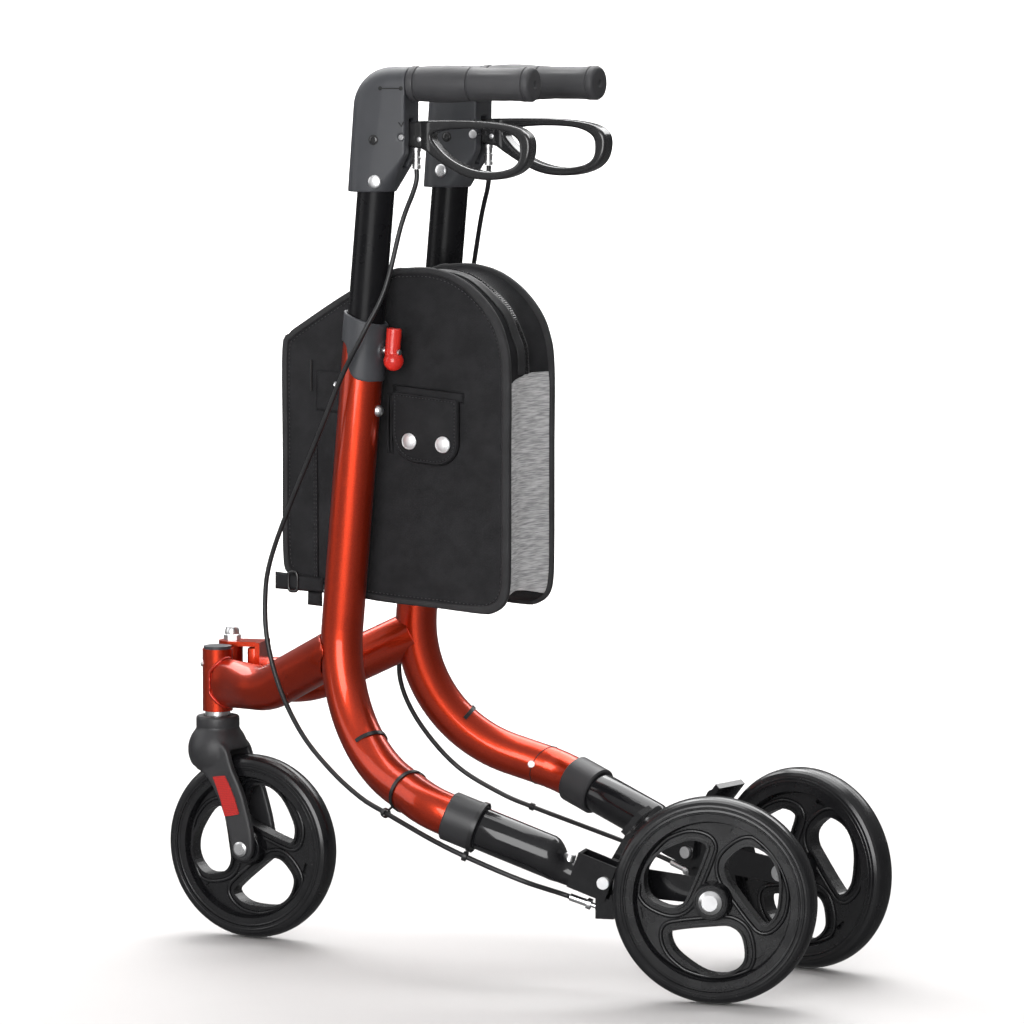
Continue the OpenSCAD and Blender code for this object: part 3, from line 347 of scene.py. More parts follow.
def makeHandling():
    # slow change over the surface: finger marks, dust and polish
    group, given, result = newGroup("handlingMarks", {"Size": 30.0, "Low": 0.2, "High": 0.4}, ("Roughness", "Mask"))
    coord = addNode(group, "TexCoord")
    noise = addNode(group, "TexNoise", Detail=5.0, Roughness=0.6)
    spread = addNode(group, "MapRange", From_Min=0.35, From_Max=0.65)
    wire(
        group, (coord, "Object", noise, "Vector"), (given, "Size", noise, "Scale"), (noise, "Fac", spread, "Value"),
        (given, "Low", spread, "To Min"), (given, "High", spread, "To Max"),
        (spread, "Result", result, "Roughness"), (noise, "Fac", result, "Mask"))
    return group


def makeGrain():
    # moulded grain of plastics and rubber
    group, given, result = newGroup("mouldedGrain", {"Scale": 1500.0}, ("Height",))
    coord = addNode(group, "TexCoord")
    cells = addNode(group, "TexVoronoi", feature="F1")
    noise = addNode(group, "TexNoise", Detail=2.0)
    mix = addNode(group, "Math", operation="MULTIPLY")
    wire(
        group, (coord, "Object", cells, "Vector"), (coord, "Object", noise, "Vector"),
        (given, "Scale", cells, "Scale"), (given, "Scale", noise, "Scale"),
        (cells, "Distance", mix, 0), (noise, "Fac", mix, 1), (mix, "Value", result, "Height"))
    return group


def makeWeave():
    # plain weave seen from the side of the bag, threads along X and Z, with long uneven yarns
    group, given, result = newGroup("plainWeave", {"Threads": 1100.0, "Slub": 0.3}, ("Height", "Thread", "Streak"))
    coord = addNode(group, "TexCoord")
    split = addNode(group, "SeparateXYZ")
    across = addNode(group, "Math", operation="ADD")
    product = addNode(group, "Math", operation="MULTIPLY")
    wire(group, (coord, "Object", split, "Vector"), (split, "X", across, 0), (split, "Y", across, 1))
    for k, (source, label) in enumerate(((across, "Value"), (split, "Z"))):
        scale = addNode(group, "Math", operation="MULTIPLY")
        turn = addNode(group, "Math", operation="MULTIPLY")
        turn.inputs[1].default_value = math.pi
        wave = addNode(group, "Math", operation="SINE")
        wire(
            group, (source, label, scale, 0), (given, "Threads", scale, 1), (scale, "Value", turn, 0),
            (turn, "Value", wave, 0), (wave, "Value", product, k))
    lift = addNode(group, "MapRange", From_Min=-1.0)
    stretch = addNode(group, "Mapping", Scale=(60.0, 60.0, 980.0))
    yarn = addNode(group, "TexNoise", Scale=1.0, Detail=3.0)
    slub = addNode(group, "Math", operation="MULTIPLY")
    total = addNode(group, "Math", operation="ADD")
    wire(
        group, (product, "Value", lift, "Value"), (coord, "Object", stretch, "Vector"),
        (stretch, "Vector", yarn, "Vector"), (yarn, "Fac", slub, 0), (given, "Slub", slub, 1),
        (lift, "Result", total, 0), (slub, "Value", total, 1), (total, "Value", result, "Height"),
        (lift, "Result", result, "Thread"), (yarn, "Fac", result, "Streak"))
    return group


handlingMarks = makeHandling()
mouldedGrain = makeGrain()
plainWeave = makeWeave()


def newMaterial(name, **values):
    material = bpy.data.materials.new(name)
    material.use_nodes = True
    shader = material.node_tree.nodes["Principled BSDF"]
    for key, value in values.items():
        shader.inputs[key.replace("_", " ")].default_value = value
    return material, material.node_tree, shader


def useGroup(tree, group, **values):
    node = tree.nodes.new("ShaderNodeGroup")
    node.node_tree = group
    for key, value in values.items():
        node.inputs[key].default_value = value
    return node


def bumpFrom(tree, shader, source, label, strength, distance):
    bump = addNode(tree, "Bump", Strength=strength, Distance=distance)
    wire(tree, (source, label, bump, "Height"), (bump, "Normal", shader, "Normal"))


def tintFrom(tree, shader, source, label, dark, light, low=0.3, high=0.7):
    ramp = addNode(tree, "ValToRGB")
    for element, place, tone in zip(ramp.color_ramp.elements, (low, high), (dark, light)):
        element.position = place
        element.color = (*tone, 1)
    wire(tree, (source, label, ramp, "Fac"), (ramp, "Color", shader, "Base Color"))


def makeRedPaint():
    # metallic flake under clear coat
    material, tree, shader = newMaterial("copperRedPaint", Metallic=0.88, Coat_Weight=0.55, Coat_Roughness=0.05)
    coord = addNode(tree, "TexCoord")
    flake = addNode(tree, "TexVoronoi", Scale=2600.0)
    tone = addNode(tree, "SeparateColor")
    marks = useGroup(tree, handlingMarks, Size=25.0, Low=0.30, High=0.37)
    wire(
        tree, (coord, "Object", flake, "Vector"), (flake, "Color", tone, "Color"),
        (marks, "Roughness", shader, "Roughness"))
    tintFrom(tree, shader, tone, "Red", (0.43, 0.024, 0.005), (0.58, 0.045, 0.011), 0.0, 1.0)
    bumpFrom(tree, shader, tone, "Green", 0.05, 0.0002)
    return material


def makeCoated(name, dark, light, low, high, grain, bump, **values):
    # painted or moulded surface: tint and grain from the shared groups
    material, tree, shader = newMaterial(name, **values)
    specks = useGroup(tree, mouldedGrain, Scale=grain)
    marks = useGroup(tree, handlingMarks, Size=30.0, Low=low, High=high)
    tintFrom(tree, shader, marks, "Mask", dark, light)
    wire(tree, (marks, "Roughness", shader, "Roughness"))
    bumpFrom(tree, shader, specks, "Height", bump, 0.0004)
    return material


def makeCloth(name, dark, light, threads, slub, bump, streaks=False, **values):
    material, tree, shader = newMaterial(name, **values)
    weave = useGroup(tree, plainWeave, Threads=threads, Slub=slub)
    if streaks:
        tintFrom(tree, shader, weave, "Streak", dark, light, 0.36, 0.64)
    else:
        # wear and nap change the thread's tone slowly over the cloth
        nap = useGroup(tree, handlingMarks, Size=48.0, Low=-0.2, High=0.2)
        tone = addNode(tree, "Math", operation="ADD")
        wire(tree, (weave, "Thread", tone, 0), (nap, "Roughness", tone, 1))
        tintFrom(tree, shader, tone, "Value", dark, light, 0.0, 1.0)
    bumpFrom(tree, shader, weave, "Height", bump, 0.0005)
    return material


def makeReflector():
    material, tree, shader = newMaterial("reflectorRed", Roughness=0.12, Coat_Weight=1.0, Coat_Roughness=0.03)
    coord = addNode(tree, "TexCoord")
    cells = addNode(tree, "TexVoronoi", Scale=420.0, Randomness=0.0)
    wire(tree, (coord, "Object", cells, "Vector"))
    tintFrom(tree, shader, cells, "Distance", (0.75, 0.02, 0.012), (0.35, 0.008, 0.006), 0.1, 0.6)
    bumpFrom(tree, shader, cells, "Distance", 0.4, 0.0006)
    return material


# dark and light tone, least and most roughness, grain, bump
redPaint = makeRedPaint()
blackPaint = makeCoated(
    "blackGlossPaint", (0.006, 0.006, 0.007), (0.010, 0.010, 0.011), 0.10, 0.2, 1400.0, 0.03,
    Coat_Weight=0.35, Coat_Roughness=0.04, Specular_IOR_Level=0.3)
charcoal = makeCoated(
    "charcoalMoulding", (0.034, 0.036, 0.041), (0.044, 0.046, 0.052), 0.42, 0.54, 1800.0, 0.22)
leverBlack = makeCoated(
    "leverBlack", (0.012, 0.012, 0.013), (0.018, 0.018, 0.019), 0.18, 0.28, 1600.0, 0.03, Coat_Weight=0.4)
gripRubber = makeCoated("gripRubber", (0.028, 0.028, 0.031), (0.040, 0.040, 0.043), 0.46, 0.6, 1500.0, 0.3)
brightSteel = makeCoated(
    "brightSteel", (0.80, 0.80, 0.81), (0.90, 0.90, 0.91), 0.26, 0.36, 1200.0, 0.02, Metallic=1.0)
bearingSteel = makeCoated(
    "bearingSteel", (0.4, 0.4, 0.41), (0.5, 0.5, 0.51), 0.25, 0.4, 1200.0, 0.04, Metallic=1.0)
cableSheath = makeCoated("cableSheath", (0.008, 0.008, 0.009), (0.014, 0.014, 0.015), 0.3, 0.42, 1500.0, 0.05)
lockRed = makeCoated(
    "lockRed", (0.52, 0.016, 0.010), (0.62, 0.022, 0.012), 0.22, 0.32, 1500.0, 0.04, Coat_Weight=0.3)
tyreBlack = makeCoated("tyreBlack", (0.006, 0.006, 0.007), (0.010, 0.010, 0.011), 0.18, 0.28, 1300.0, 0.04)
rimBlack = makeCoated("rimBlack", (0.005, 0.005, 0.006), (0.009, 0.009, 0.010), 0.22, 0.32, 1600.0, 0.06)
forkBlack = makeCoated("forkBlack", (0.018, 0.018, 0.020), (0.026, 0.026, 0.028), 0.40, 0.5, 1700.0, 0.16)
postBlack = makeCoated(
    "postBlack", (0.005, 0.005, 0.006), (0.008, 0.008, 0.009), 0.24, 0.34, 1400.0, 0.02, Specular_IOR_Level=0.12)
satinNickel = makeCoated(
    "satinNickel", (0.80, 0.80, 0.81), (0.88, 0.88, 0.89), 0.42, 0.52, 1200.0, 0.03, Metallic=0.75)
reflectorRed = makeReflector()
# dark and light tone, threads, slub, bump
bagCloth = makeCloth(
    "bagCloth", (0.008, 0.008, 0.009), (0.023, 0.023, 0.025), 1300.0, 0.4, 0.5,
    Roughness=0.72, Specular_IOR_Level=0.2)
heatherCloth = makeCloth(
    "heatherCloth", (0.27, 0.27, 0.275), (0.55, 0.55, 0.555), 1100.0, 0.6, 0.4, streaks=True,
    Roughness=0.85, Specular_IOR_Level=0.2)
bindingTape = makeCloth(
    "bindingTape", (0.013, 0.013, 0.014), (0.032, 0.032, 0.034), 1700.0, 0.3, 0.4,
    Roughness=0.58, Specular_IOR_Level=0.3)
satinTape = makeCloth("satinTape", (0.012, 0.012, 0.013), (0.026, 0.026, 0.028), 2300.0, 0.2, 0.3, Roughness=0.36)
stitchThread = makeCoated("stitchThread", (0.035, 0.035, 0.037), (0.06, 0.06, 0.063), 0.5, 0.6, 2500.0, 0.2)
weldRed = makeCoated(
    "weldRed", (0.36, 0.016, 0.006), (0.52, 0.030, 0.010), 0.28, 0.4, 420.0, 0.5, Metallic=0.7, Coat_Weight=0.4)
# near-black painted shade, laid as thin beads, rings and discs in grooves, slots, screw wells and joint gaps
paintedRecessShade = makeCoated("paintedRecessShade", (0.004, 0.004, 0.004), (0.007, 0.007, 0.007), 0.5, 0.7, 1500.0, 0.1)
print("materials made")

finish = {
    "red_paint": redPaint, "black_paint": blackPaint, "charcoal_plastic": charcoal, "lever_black": leverBlack,
    "grip_rubber": gripRubber, "bright_steel": brightSteel, "bearing_steel": bearingSteel,
    "cable_sheath": cableSheath, "lock_red": lockRed, "tyre_black": tyreBlack, "rim_black": rimBlack,
    "bag_fabric": bagCloth, "heather_fabric": heatherCloth,
}
for part in frame["record"]["subparts"]:
    data = nodes[part["node"]].data
    data.materials.clear()
    data.materials.append(finish[part["material_slot"]])
nodes["reflectors"].data.materials[0] = reflectorRed
for side in bothSides:
    nodes[side + "_post"].data.materials[0] = postBlack
    nodes[side + "_leg_collar"].data.materials[0] = forkBlack

# brake cables along the CAD routes, in metres
cableSet = {
    "diameter": 0.005, "steps": 6, "blend": ((-0.11, 5, 0.60), (-0.06, 3, 0.75)),
    "left": [
        (-0.0551, -0.0765, 0.7944), (-0.0551, -0.0765, 0.7844), (-0.057, -0.080, 0.772), (-0.064, -0.092, 0.740),
        (-0.075, -0.105, 0.678), (-0.094, -0.113, 0.636), (-0.119, -0.113, 0.592), (-0.152, -0.107, 0.526),
        (-0.187, -0.103, 0.455), (-0.208, -0.102, 0.403), (-0.214, -0.102, 0.366), (-0.211, -0.103, 0.322),
        (-0.193, -0.108, 0.274), (-0.162, -0.118, 0.232), (-0.122, -0.130, 0.200), (-0.084, -0.140, 0.178),
        (-0.054, -0.145, 0.166), (-0.004, -0.148, 0.145), (0.035, -0.147, 0.130), (0.092, -0.140, 0.110),
        (0.1244, -0.117, 0.0959), (0.1338, -0.1151, 0.093)],
    "right": [
        (-0.0551, 0.0765, 0.7944), (-0.0551, 0.0765, 0.7844), (-0.058, 0.080, 0.772), (-0.072, 0.092, 0.740),
        (-0.092, 0.107, 0.672), (-0.110, 0.112, 0.600), (-0.128, 0.110, 0.520), (-0.146, 0.107, 0.440),
        (-0.163, 0.105, 0.360), (-0.174, 0.105, 0.290), (-0.172, 0.108, 0.252), (-0.153, 0.116, 0.212),
        (-0.118, 0.127, 0.172), (-0.072, 0.136, 0.146), (-0.038, 0.140, 0.134), (0.010, 0.140, 0.121),
        (0.080, 0.134, 0.104), (0.1244, 0.117, 0.0959), (0.1338, 0.1151, 0.093)],
}


def makeCable(side):
    route = curveThrough(cableSet[side], cableSet["steps"])
    cable = tubeAlong(side + "CableSheath", route, cableSet["diameter"] / 2, cableSheath)
    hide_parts(side + "_brake_cable")
    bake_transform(cable)


for side in bothSides:
    makeCable(side)

# handles: housings, levers, grips and their small parts, in mm of the handle's own frame
handleSet = {
    "origin": (-0.0901, -0.078, 0.878), "toe": 2.5, "pivot": (26, -52), "pivotOut": 16.0,
    "rivet": {"out": (-1.2, -95.8), "in": (-9.0, -89.0), "radius": 6.6},
    "screw": (-2.2, -54.7), "slot": (5.0, 26.5, -4.3), "notch": (26.8, -41.3), "leverDot": (14.4, -2.2),
    "pivotEnds": {
        -1: [(3.0, -32.0), (3.0, 0.2), (2.6, 0.6), (1.2, 0.7)],
        1: [(4.4, -0.2), (4.4, 0.8), (3.8, 1.3), (1.5, 1.5)]},
    "barrelAt": (35, 0, -83.2),
    "barrel": [
        (3.7, 0.0), (4.2, 0.4), (4.2, 4.0), (3.8, 4.4), (3.8, 9.0), (4.3, 9.4), (4.3, 11.5), (3.8, 12.0),
        (3.8, 17.0), (4.4, 17.4), (4.4, 20.6), (3.9, 21.0)],
}


def handlePoint(side, x, y, z):
    a = math.radians(handleSet["toe"])
    ox, oy, oz = handleSet["origin"]
    px, py = ox + (x * math.cos(a) - y * math.sin(a)) * mm, oy + (x * math.sin(a) + y * math.cos(a)) * mm
    return Vector((px, py if side == "left" else -py, oz + z * mm))


def handleWay(side, x, y, z):
    return handlePoint(side, x, y, z) - handlePoint(side, 0, 0, 0)


gripSet = {"from": 30.0, "length": 133.0, "radius": 17.0, "swell": 1.3, "groove": 66.0, "flat": 0.0011}


def makeGrip(side):
    start, length, r, swell, groove, flat = gripSet.values()
    rings = [
        (r - 2.4, 0.1), (r - 0.5, 0.4), (r + 0.5, 1.4), (r + 0.6, 6.4), (r + 0.2, 7.4), (r - 0.7, 7.8),
        (r - 0.7, 8.6), (r, 9.4)]
    rings += [(r + swell * math.sin(math.pi * k / 14), 9.4 + (groove - 12.4) * k / 14) for k in range(1, 15)]
    rings += [(r - 0.2, groove - 1.6), (r - 1.1, groove - 0.8), (r - 1.1, groove + 0.2), (r - 0.1, groove + 1.0)]
    rings += [
        (r + 0.25 * math.sin(math.pi * k / 8), groove + 1.4 + (length - groove - 12.0) * k / 8)
        for k in range(1, 9)]
    rings += [
        (r - 0.1, length - 9.4), (r - 0.9, length - 8.8), (r - 0.9, length - 8.0), (r, length - 7.2),
        (r, length - 3.4), (r - 0.4, length - 2.6), (r - 1.4, length - 1.0), (r - 3.0, length - 0.2),
        (r - 4.5, length), (4.2, length + 0.1), (3.4, length - 0.6), (2.6, length - 1.2)]
    base = handlePoint(side, start, 0, 0)
    grip = turned(side + "GripSleeve", rings, base, handleWay(side, 1, 0, 0), gripRubber, 60)
    # two long shallow flats along the rear stretch
    for v in grip.data.vertices:
        off = v.co - base
        along = off.dot(handleWay(side, 1000, 0, 0)) * 1000
        share = mixed(groove + 4, groove + 12, 1.0, along) * (1 - mixed(length - 20, length - 11, 1.0, along))
        if share > 0:
            rise = off.z * 1000
            v.co.z -= math.copysign(flat * share * mixed(9.0, 12.5, 1.0, abs(rise)), rise)
    carried(grip, side + "_handle", "grip_rubber", side + "_grip")


leverSet = {
    "outer": [
        (-1.6, 11.2), (6, 15.2), (46, 16.6), (88, 15.9), (121, 12), (136, 5), (141, -6), (138, -22), (127.5, -33),
        (109, -39.3), (88, -40.7), (67, -37.4), (46, -27.8), (27, -16.5), (17, -11.5), (8, -10), (-4.4, -6.6),
        (-5.8, 3.4)],
    "inner": [
        (30, 2.2), (46, 7.4), (80, 9), (109, 7), (125, 0), (129, -9.5), (127, -22), (117, -29.2), (96.5, -32.4),
        (75.7, -30.4), (54.8, -22.6), (38, -10.4)],
    "halfWide": 9.5, "neckHalf": 4.9, "neckFrom": 15.0, "neckTo": 30.0, "splay": 5.0, "edge": 3.0,
}


def makeLever(side):
    # flat filled curve with a finger opening, given width and round edges, then set on its pivot
    name = side + "LeverLoop"
    curve = bpy.data.curves.new(name, "CURVE")
    curve.dimensions = "2D"
    curve.fill_mode = "BOTH"
    curve.extrude = (leverSet["halfWide"] - leverSet["edge"]) * mm
    curve.bevel_depth = leverSet["edge"] * mm
    curve.bevel_resolution = 4
    curve.offset = -leverSet["edge"] * mm
    for key in ("outer", "inner"):
        points = curveThrough([(x, z, 0) for x, z in leverSet[key]], 8, True)
        addSpline(curve, [p * mm for p in points], True)
    lever = rounded(curveToMesh(name, curve), 0.0008, 8)
    slope = math.tan(math.radians(leverSet["splay"]))
    narrow = leverSet["neckHalf"] / leverSet["halfWide"]
    pivotX, pivotZ = handleSet["pivot"]
    for v in lever.data.vertices:
        x, z, y = v.co * 1000
        y *= narrow + mixed(leverSet["neckFrom"], leverSet["neckTo"], 1 - narrow, x)
        v.co = handlePoint(side, pivotX + x, y - max(x, 0.0) * slope, pivotZ + z)
    faceOut(lever)
    dress(lever, name, leverBlack, 60)
    return carried(lever, side + "_lever", "lever_black", side + "_brake_lever")


def makeHandle(side):
    body = side + "_handle"
    housing = softCopy(side + "_handle_housing", side + "HousingShell", charcoal, 0.0011, 9)
    carried(housing, body, "charcoal_plastic", side + "_handle_housing")
    lever = makeLever(side)
    pivotX, pivotZ = handleSet["pivot"]
    rivets, screws, marks, dots = [], [], [], []
    for face, key in ((-1, "out"), (1, "in")):
        def onShell(x, z):
            return landOn(housing, handlePoint(side, x, face * 60, z), handleWay(side, 0, -face, 0))

        top = handleSet["rivet"]["radius"]
        dome = [(top, -1.2), (top, 0.4), (top - 0.4, 0.9), (top - 1.4, 1.3), (top - 3.2, 1.6), (1.0, 1.75)]
        rivets.append(turned("rivet", dome, *onShell(*handleSet["rivet"][key]), brightSteel))
        well = onShell(*handleSet["screw"])
        # dark ring round the screw head: painted shade of the recess it sits in
        marks.append(turned("screwWellShade", [(5.2, -1.0), (5.2, 0.15), (4.9, 0.25)], *well, paintedRecessShade))
        head = [(4.2, -0.8), (4.2, 0.5), (3.7, 0.9), (2.2, 1.0), (2.0, 0.5), (1.2, 0.45)]
        screws.append(turned("screw", head, *well, leverBlack))
        # slot line with a dot at each end, and the small corner notch, as dark beads of painted shade in the moulded
        # grooves
        x0, x1, z = handleSet["slot"]
        run = [onShell(x0 + (x1 - x0) * k / 16, z)[0] for k in range(17)]
        marks.append(tubeAlong("slotLine", run, 0.0006, paintedRecessShade))
        for x in (x0, x1):
            marks.append(turned("slotDot", [(2.1, -0.6), (2.1, 0.2), (1.6, 0.35)], *onShell(x, z), paintedRecessShade, 20))
        x, z = handleSet["notch"]
        run = [onShell(*at)[0] for at in ((x - 3.0, z + 4.0), (x, z), (x + 2.0, z + 4.5))]
        marks.append(tubeAlong("notch", run, 0.0007, paintedRecessShade))
    for face in (-1, 1):
        place = handlePoint(side, pivotX, face * handleSet["pivotOut"], pivotZ)
        rivets.append(turned(
            "pivotEnd", handleSet["pivotEnds"][face], place, handleWay(side, 0, face, 0), brightSteel, 24))
        # bright dot on the lever neck
        x, z = handleSet["leverDot"]
        spot = landOn(lever, handlePoint(side, pivotX + x, face * 40, pivotZ + z), handleWay(side, 0, -face, 0))
        dots.append(turned("leverDot", [(2.6, -0.5), (2.6, 0.4), (2.0, 0.8), (0.8, 0.9)], *spot, brightSteel, 20))
    carried(joined(rivets, side + "HandleRivets"), body, "bright_steel", side + "_handle_fasteners")
    carried(joined(screws, side + "HandleScrews"), body, "lever_black")
    # the dark beads and rings are painted shade of the housing's recesses
    carried(joined(marks, side + "HousingRecessShade"), body, "lever_black")
    barrelAt = handlePoint(side, *handleSet["barrelAt"])
    dots.append(turned("cableBarrel", handleSet["barrel"], barrelAt, upward, brightSteel, 24))
    carried(joined(dots, side + "LeverBrights"), side + "_lever", "bright_steel")
    makeGrip(side)


for side in bothSides:
    makeHandle(side)
print("handles made")

# post clamps with their lock levers
for side in bothSides:
    clamp = softCopy(side + "_post_clamp", side + "ClampShell", charcoal, 0.0009, 6)
    carried(clamp, side + "_frame", "charcoal_plastic", side + "_post_clamp")
    lock = softCopy(side + "_lock_lever", side + "LockKnob", lockRed, 0.0007, 8)
    carried(lock, side + "_lock", "lock_red", side + "_lock_lever")
print("clamps made")

# front arm: oval where it is welded to the head tube
headSet = {
    "x": -0.330, "armZ": 0.263, "armEnd": (-0.1412, -0.078), "wide": 0.70, "tall": 1.09, "from": 0.016, "to": 0.072,
    "tube": 0.0155, "bead": 0.0018, "oval": (0.0163, 0.0252), "ovalMost": 0.0148,
    "screwZ": 0.282, "screwWay": (-0.80, -0.60, 0),
}


def makeFrontArm():
    arm = softCopy("left_front_arm", "frontArm", redPaint, 0.0014, 16, 0.6)
    head = Vector((headSet["x"], 0))
    way = (Vector(headSet["armEnd"]) - head).normalized()
    aside = Vector((-way.y, way.x))
    armZ = headSet["armZ"]
    for v in arm.data.vertices:
        off = Vector((v.co.x, v.co.y)) - head
        along, out = off.dot(way), off.dot(aside)
        share = 1 - mixed(headSet["from"], headSet["to"], 1.0, along)
        out *= 1 - (1 - headSet["wide"]) * share
        flat = head + way * along + aside * out
        v.co = (flat.x, flat.y, armZ + (v.co.z - armZ) * (1 + (headSet["tall"] - 1) * share))
    arm.data.update()
    carried(arm, "left_frame", "red_paint", "left_front_arm")
    # weld bead round the oval, slightly uneven
    bead = []
    wide, tall = headSet["oval"]
    most = headSet["ovalMost"]
    for a in turns(72):
        out, rise = max(-most, min(most, wide * math.cos(a))), tall * math.sin(a)
        along = math.sqrt(max(0.0, (headSet["tube"] + 0.0004) ** 2 - out ** 2)) + 0.0002 * math.sin(23 * a)
        flat = head + way * along + aside * out
        bead.append(Vector((flat.x, flat.y, armZ + rise + 0.0003 * math.sin(31 * a))))
    carried(tubeAlong("headWeld", bead, headSet["bead"], weldRed, closed=True), "left_frame", "red_paint")


def makeHeadScrew():
    way = Vector(headSet["screwWay"])
    place = Vector((headSet["x"], 0, headSet["screwZ"])) + way * headSet["tube"]
    screw = turned("headScrew", [(3.2, -1.0), (3.2, 1.2), (2.6, 1.9), (1.2, 2.1)], place, way, brightSteel, 24)
    carried(screw, "left_frame", "bright_steel")


hingeSet = {
    "pin": (-0.330, 0.030), "top": 0.3025, "under": 0.2376, "turn": 14.2,
    "hex": [(8.4, 0.0), (9.0, 0.5), (9.0, 5.6), (8.3, 6.4), (7.6, 6.6)],
    "dome": [(7.5, 6.0), (7.5, 9.0), (7.2, 11.0), (6.4, 13.2), (5.0, 14.8), (3.0, 15.8), (1.0, 16.1)],
    "head": [(4.4, 66.0), (4.4, 0.4), (8.2, 0.2), (8.2, -3.6), (7.6, -4.6), (5.0, -5.4), (1.0, -5.6)],
    "web": (19.5, 31.0), "half": 13.0, "low": 0.2435, "high": 0.2968, "edge": 0.0022,
}


def makeHingeNut():
    # hexagon and dome of the acorn nut, with the bolt's head below
    top, under = (*hingeSet["pin"], hingeSet["top"]), (*hingeSet["pin"], hingeSet["under"])
    parts = [
        turned(name, hingeSet[key], place, upward, brightSteel, count) for name, key, place, count in (
            ("hexNut", "hex", top, 6), ("nutDome", "dome", top, 32), ("boltHead", "head", under, 32))]
    carried(joined(parts, "hingeNut"), "right_frame", "bright_steel", "hinge_bolt")


def makeClevisWeb():
    # solid back of the clevis between its two plates
    near, far = hingeSet["web"]
    low, high = hingeSet["low"], hingeSet["high"]
    clearPick()
    bpy.ops.mesh.primitive_cube_add(size=1, location=(0, 0, 0))
    web = bpy.context.active_object
    web.scale = ((far - near) * mm, hingeSet["half"] * 2 * mm, high - low)
    settle(web)
    applyModifier(web, "BEVEL", width=hingeSet["edge"], segments=4)
    x, y = hingeSet["pin"]
    a = math.radians(hingeSet["turn"])
    along = (near + far) / 2 * mm
    web.rotation_euler = (0, 0, a)
    web.location = (x + along * math.cos(a), y + along * math.sin(a), (low + high) / 2)
    settle(web)
    carried(dress(web, "clevisWeb", redPaint), "right_frame", "red_paint")


legSet = {
    "knee": (-0.0059, -0.1405, 0.1738), "way": (0.9237, 0.1879, -0.3338), "down": (-0.327, -0.0666, -0.9426),
    "drop": 0.0072, "swage": (127.0, 150.0), "boltAt": (0.1335, -0.114, 0.1325),
    "rings": [
        (15.0, 23), (18.4, 23.4), (18.4, 36.2), (20.6, 36.4), (21.0, 37.2), (21.0, 80), (21.0, 127), (20.4, 131),
        (18.8, 136), (16.4, 140.5), (14.4, 144.5), (13.3, 148.5), (12.9, 153), (12.9, 164)],
    "bolt": [(5.4, -9.0), (5.4, 1.6), (5.0, 2.4), (3.4, 3.4), (1.0, 3.7)],
}


def makeLegEnd(side):
    # the tube is swaged down to a lower neck before it enters the bracket
    knee, way, down = (Vector(legSet[k]) for k in ("knee", "way", "down"))
    end = turned(side + "LegEnd", legSet["rings"], knee, way, blackPaint, 48)
    for v in end.data.vertices:
        v.co += down * mixed(*legSet["swage"], legSet["drop"], (v.co - knee).dot(way) * 1000)
    bolt = turned(side + "NeckBolt", legSet["bolt"], legSet["boltAt"], -down, brightSteel, 24)
    if side == "right":
        for piece in (end, bolt):
            piece.scale = (1, -1, 1)
            faceOut(settle(piece))
    carried(end, side + "_frame", "black_paint", side + "_leg_tube")
    carried(bolt, side + "_frame", "bright_steel")


seamSet = {"centre": (-0.021, 0.137, 0.173), "way": (0.9237, -0.1879, -0.3338), "thick": 0.0005, "away": 0.05}


def makeSeam():
    # fine joint line round the far tube, laid on its own surface; its dark colour is painted shade of the gap between
    # the parts
    centre, way = Vector(seamSet["centre"]), Vector(seamSet["way"]).normalized()
    aside = way.cross(Vector(upward)).normalized()
    above = aside.cross(way)
    run = []
    for a in turns(72):
        out = aside * math.cos(a) + above * math.sin(a)
        run.append(landOn(nodes["right_main_tube"], centre + out * seamSet["away"], -out)[0])
    seam = tubeAlong("tubeSeam", run, seamSet["thick"], paintedRecessShade, closed=True, sides=2)
    carried(seam, "right_frame", "red_paint")


makeFrontArm()
makeHeadScrew()
makeSeam()
makeHingeNut()
makeClevisWeb()
for side in bothSides:
    makeLegEnd(side)
print("front arm and legs made")

# castor fork, cast in one flowing form, with its collar
forkSet = {
    "collarZ": 0.2154, "grooveZ": 0.2149, "groove": (0.0206, 0.0011),
    "collar": [
        (18.4, 0.0), (21.2, 0.3), (22.2, 1.2), (22.4, 2.4), (22.4, 9.4), (22.0, 11.2), (21.0, 12.4), (18.0, 13.0),
        (13.6, 13.2)],
}
fork = softCopy("castor_fork", "forkCasting", forkBlack, 0.0012, 26)
carried(fork, "castor", "black_paint", "castor_fork")
collarAt = (headSet["x"], 0, forkSet["collarZ"])
carried(turned("forkCollar", forkSet["collar"], collarAt, upward, forkBlack, 64), "castor", "black_paint")
# dark ring in the collar's groove: painted shade
grooveAt = (headSet["x"], 0, forkSet["grooveZ"])
carried(ringBead("collarGrooveShade", grooveAt, upward, *forkSet["groove"], paintedRecessShade), "castor", "black_paint")
print("fork made")

# wheels: ridges round the openings, ring beads and blind pockets, as shares of the radius or in metres
wheelSet = {
    "opening": [
        (-0.19, -0.51), (-0.083, -0.61), (0.083, -0.64), (0.29, -0.63), (0.455, -0.55), (0.54, -0.42),
        (0.545, -0.28), (0.41, -0.125), (0.27, -0.11), (0.125, -0.21), (-0.125, -0.42)],
    "ridgeOut": 0.085, "ridgeMost": 0.735, "ridge": 0.0022, "web": 0.0045, "spokes": 3,
    "pocket": {"share": 0.705, "turn": -16, "deep": -0.0005, "rings": [(6.2, -1.0), (6.2, 1.0), (5.6, 1.2)]},
    "rimStep": {"out": 0.0128, "inside": 0.0142, "thick": 0.0013},
    "hubBead": {"out": 0.0166, "radius": 0.0158, "thick": 0.0012},
    "sidewallBead": {"out": 0.0141, "inside": 0.0098, "thick": 0.0013},
    "rear": {"centre": (0.284, -0.106, 0.1005), "radius": 0.1005, "spin": 32, "toe": 11.5},
    "front": {"centre": (-0.289, 0.0, 0.095), "radius": 0.095, "spin": 0, "toe": 0},
}


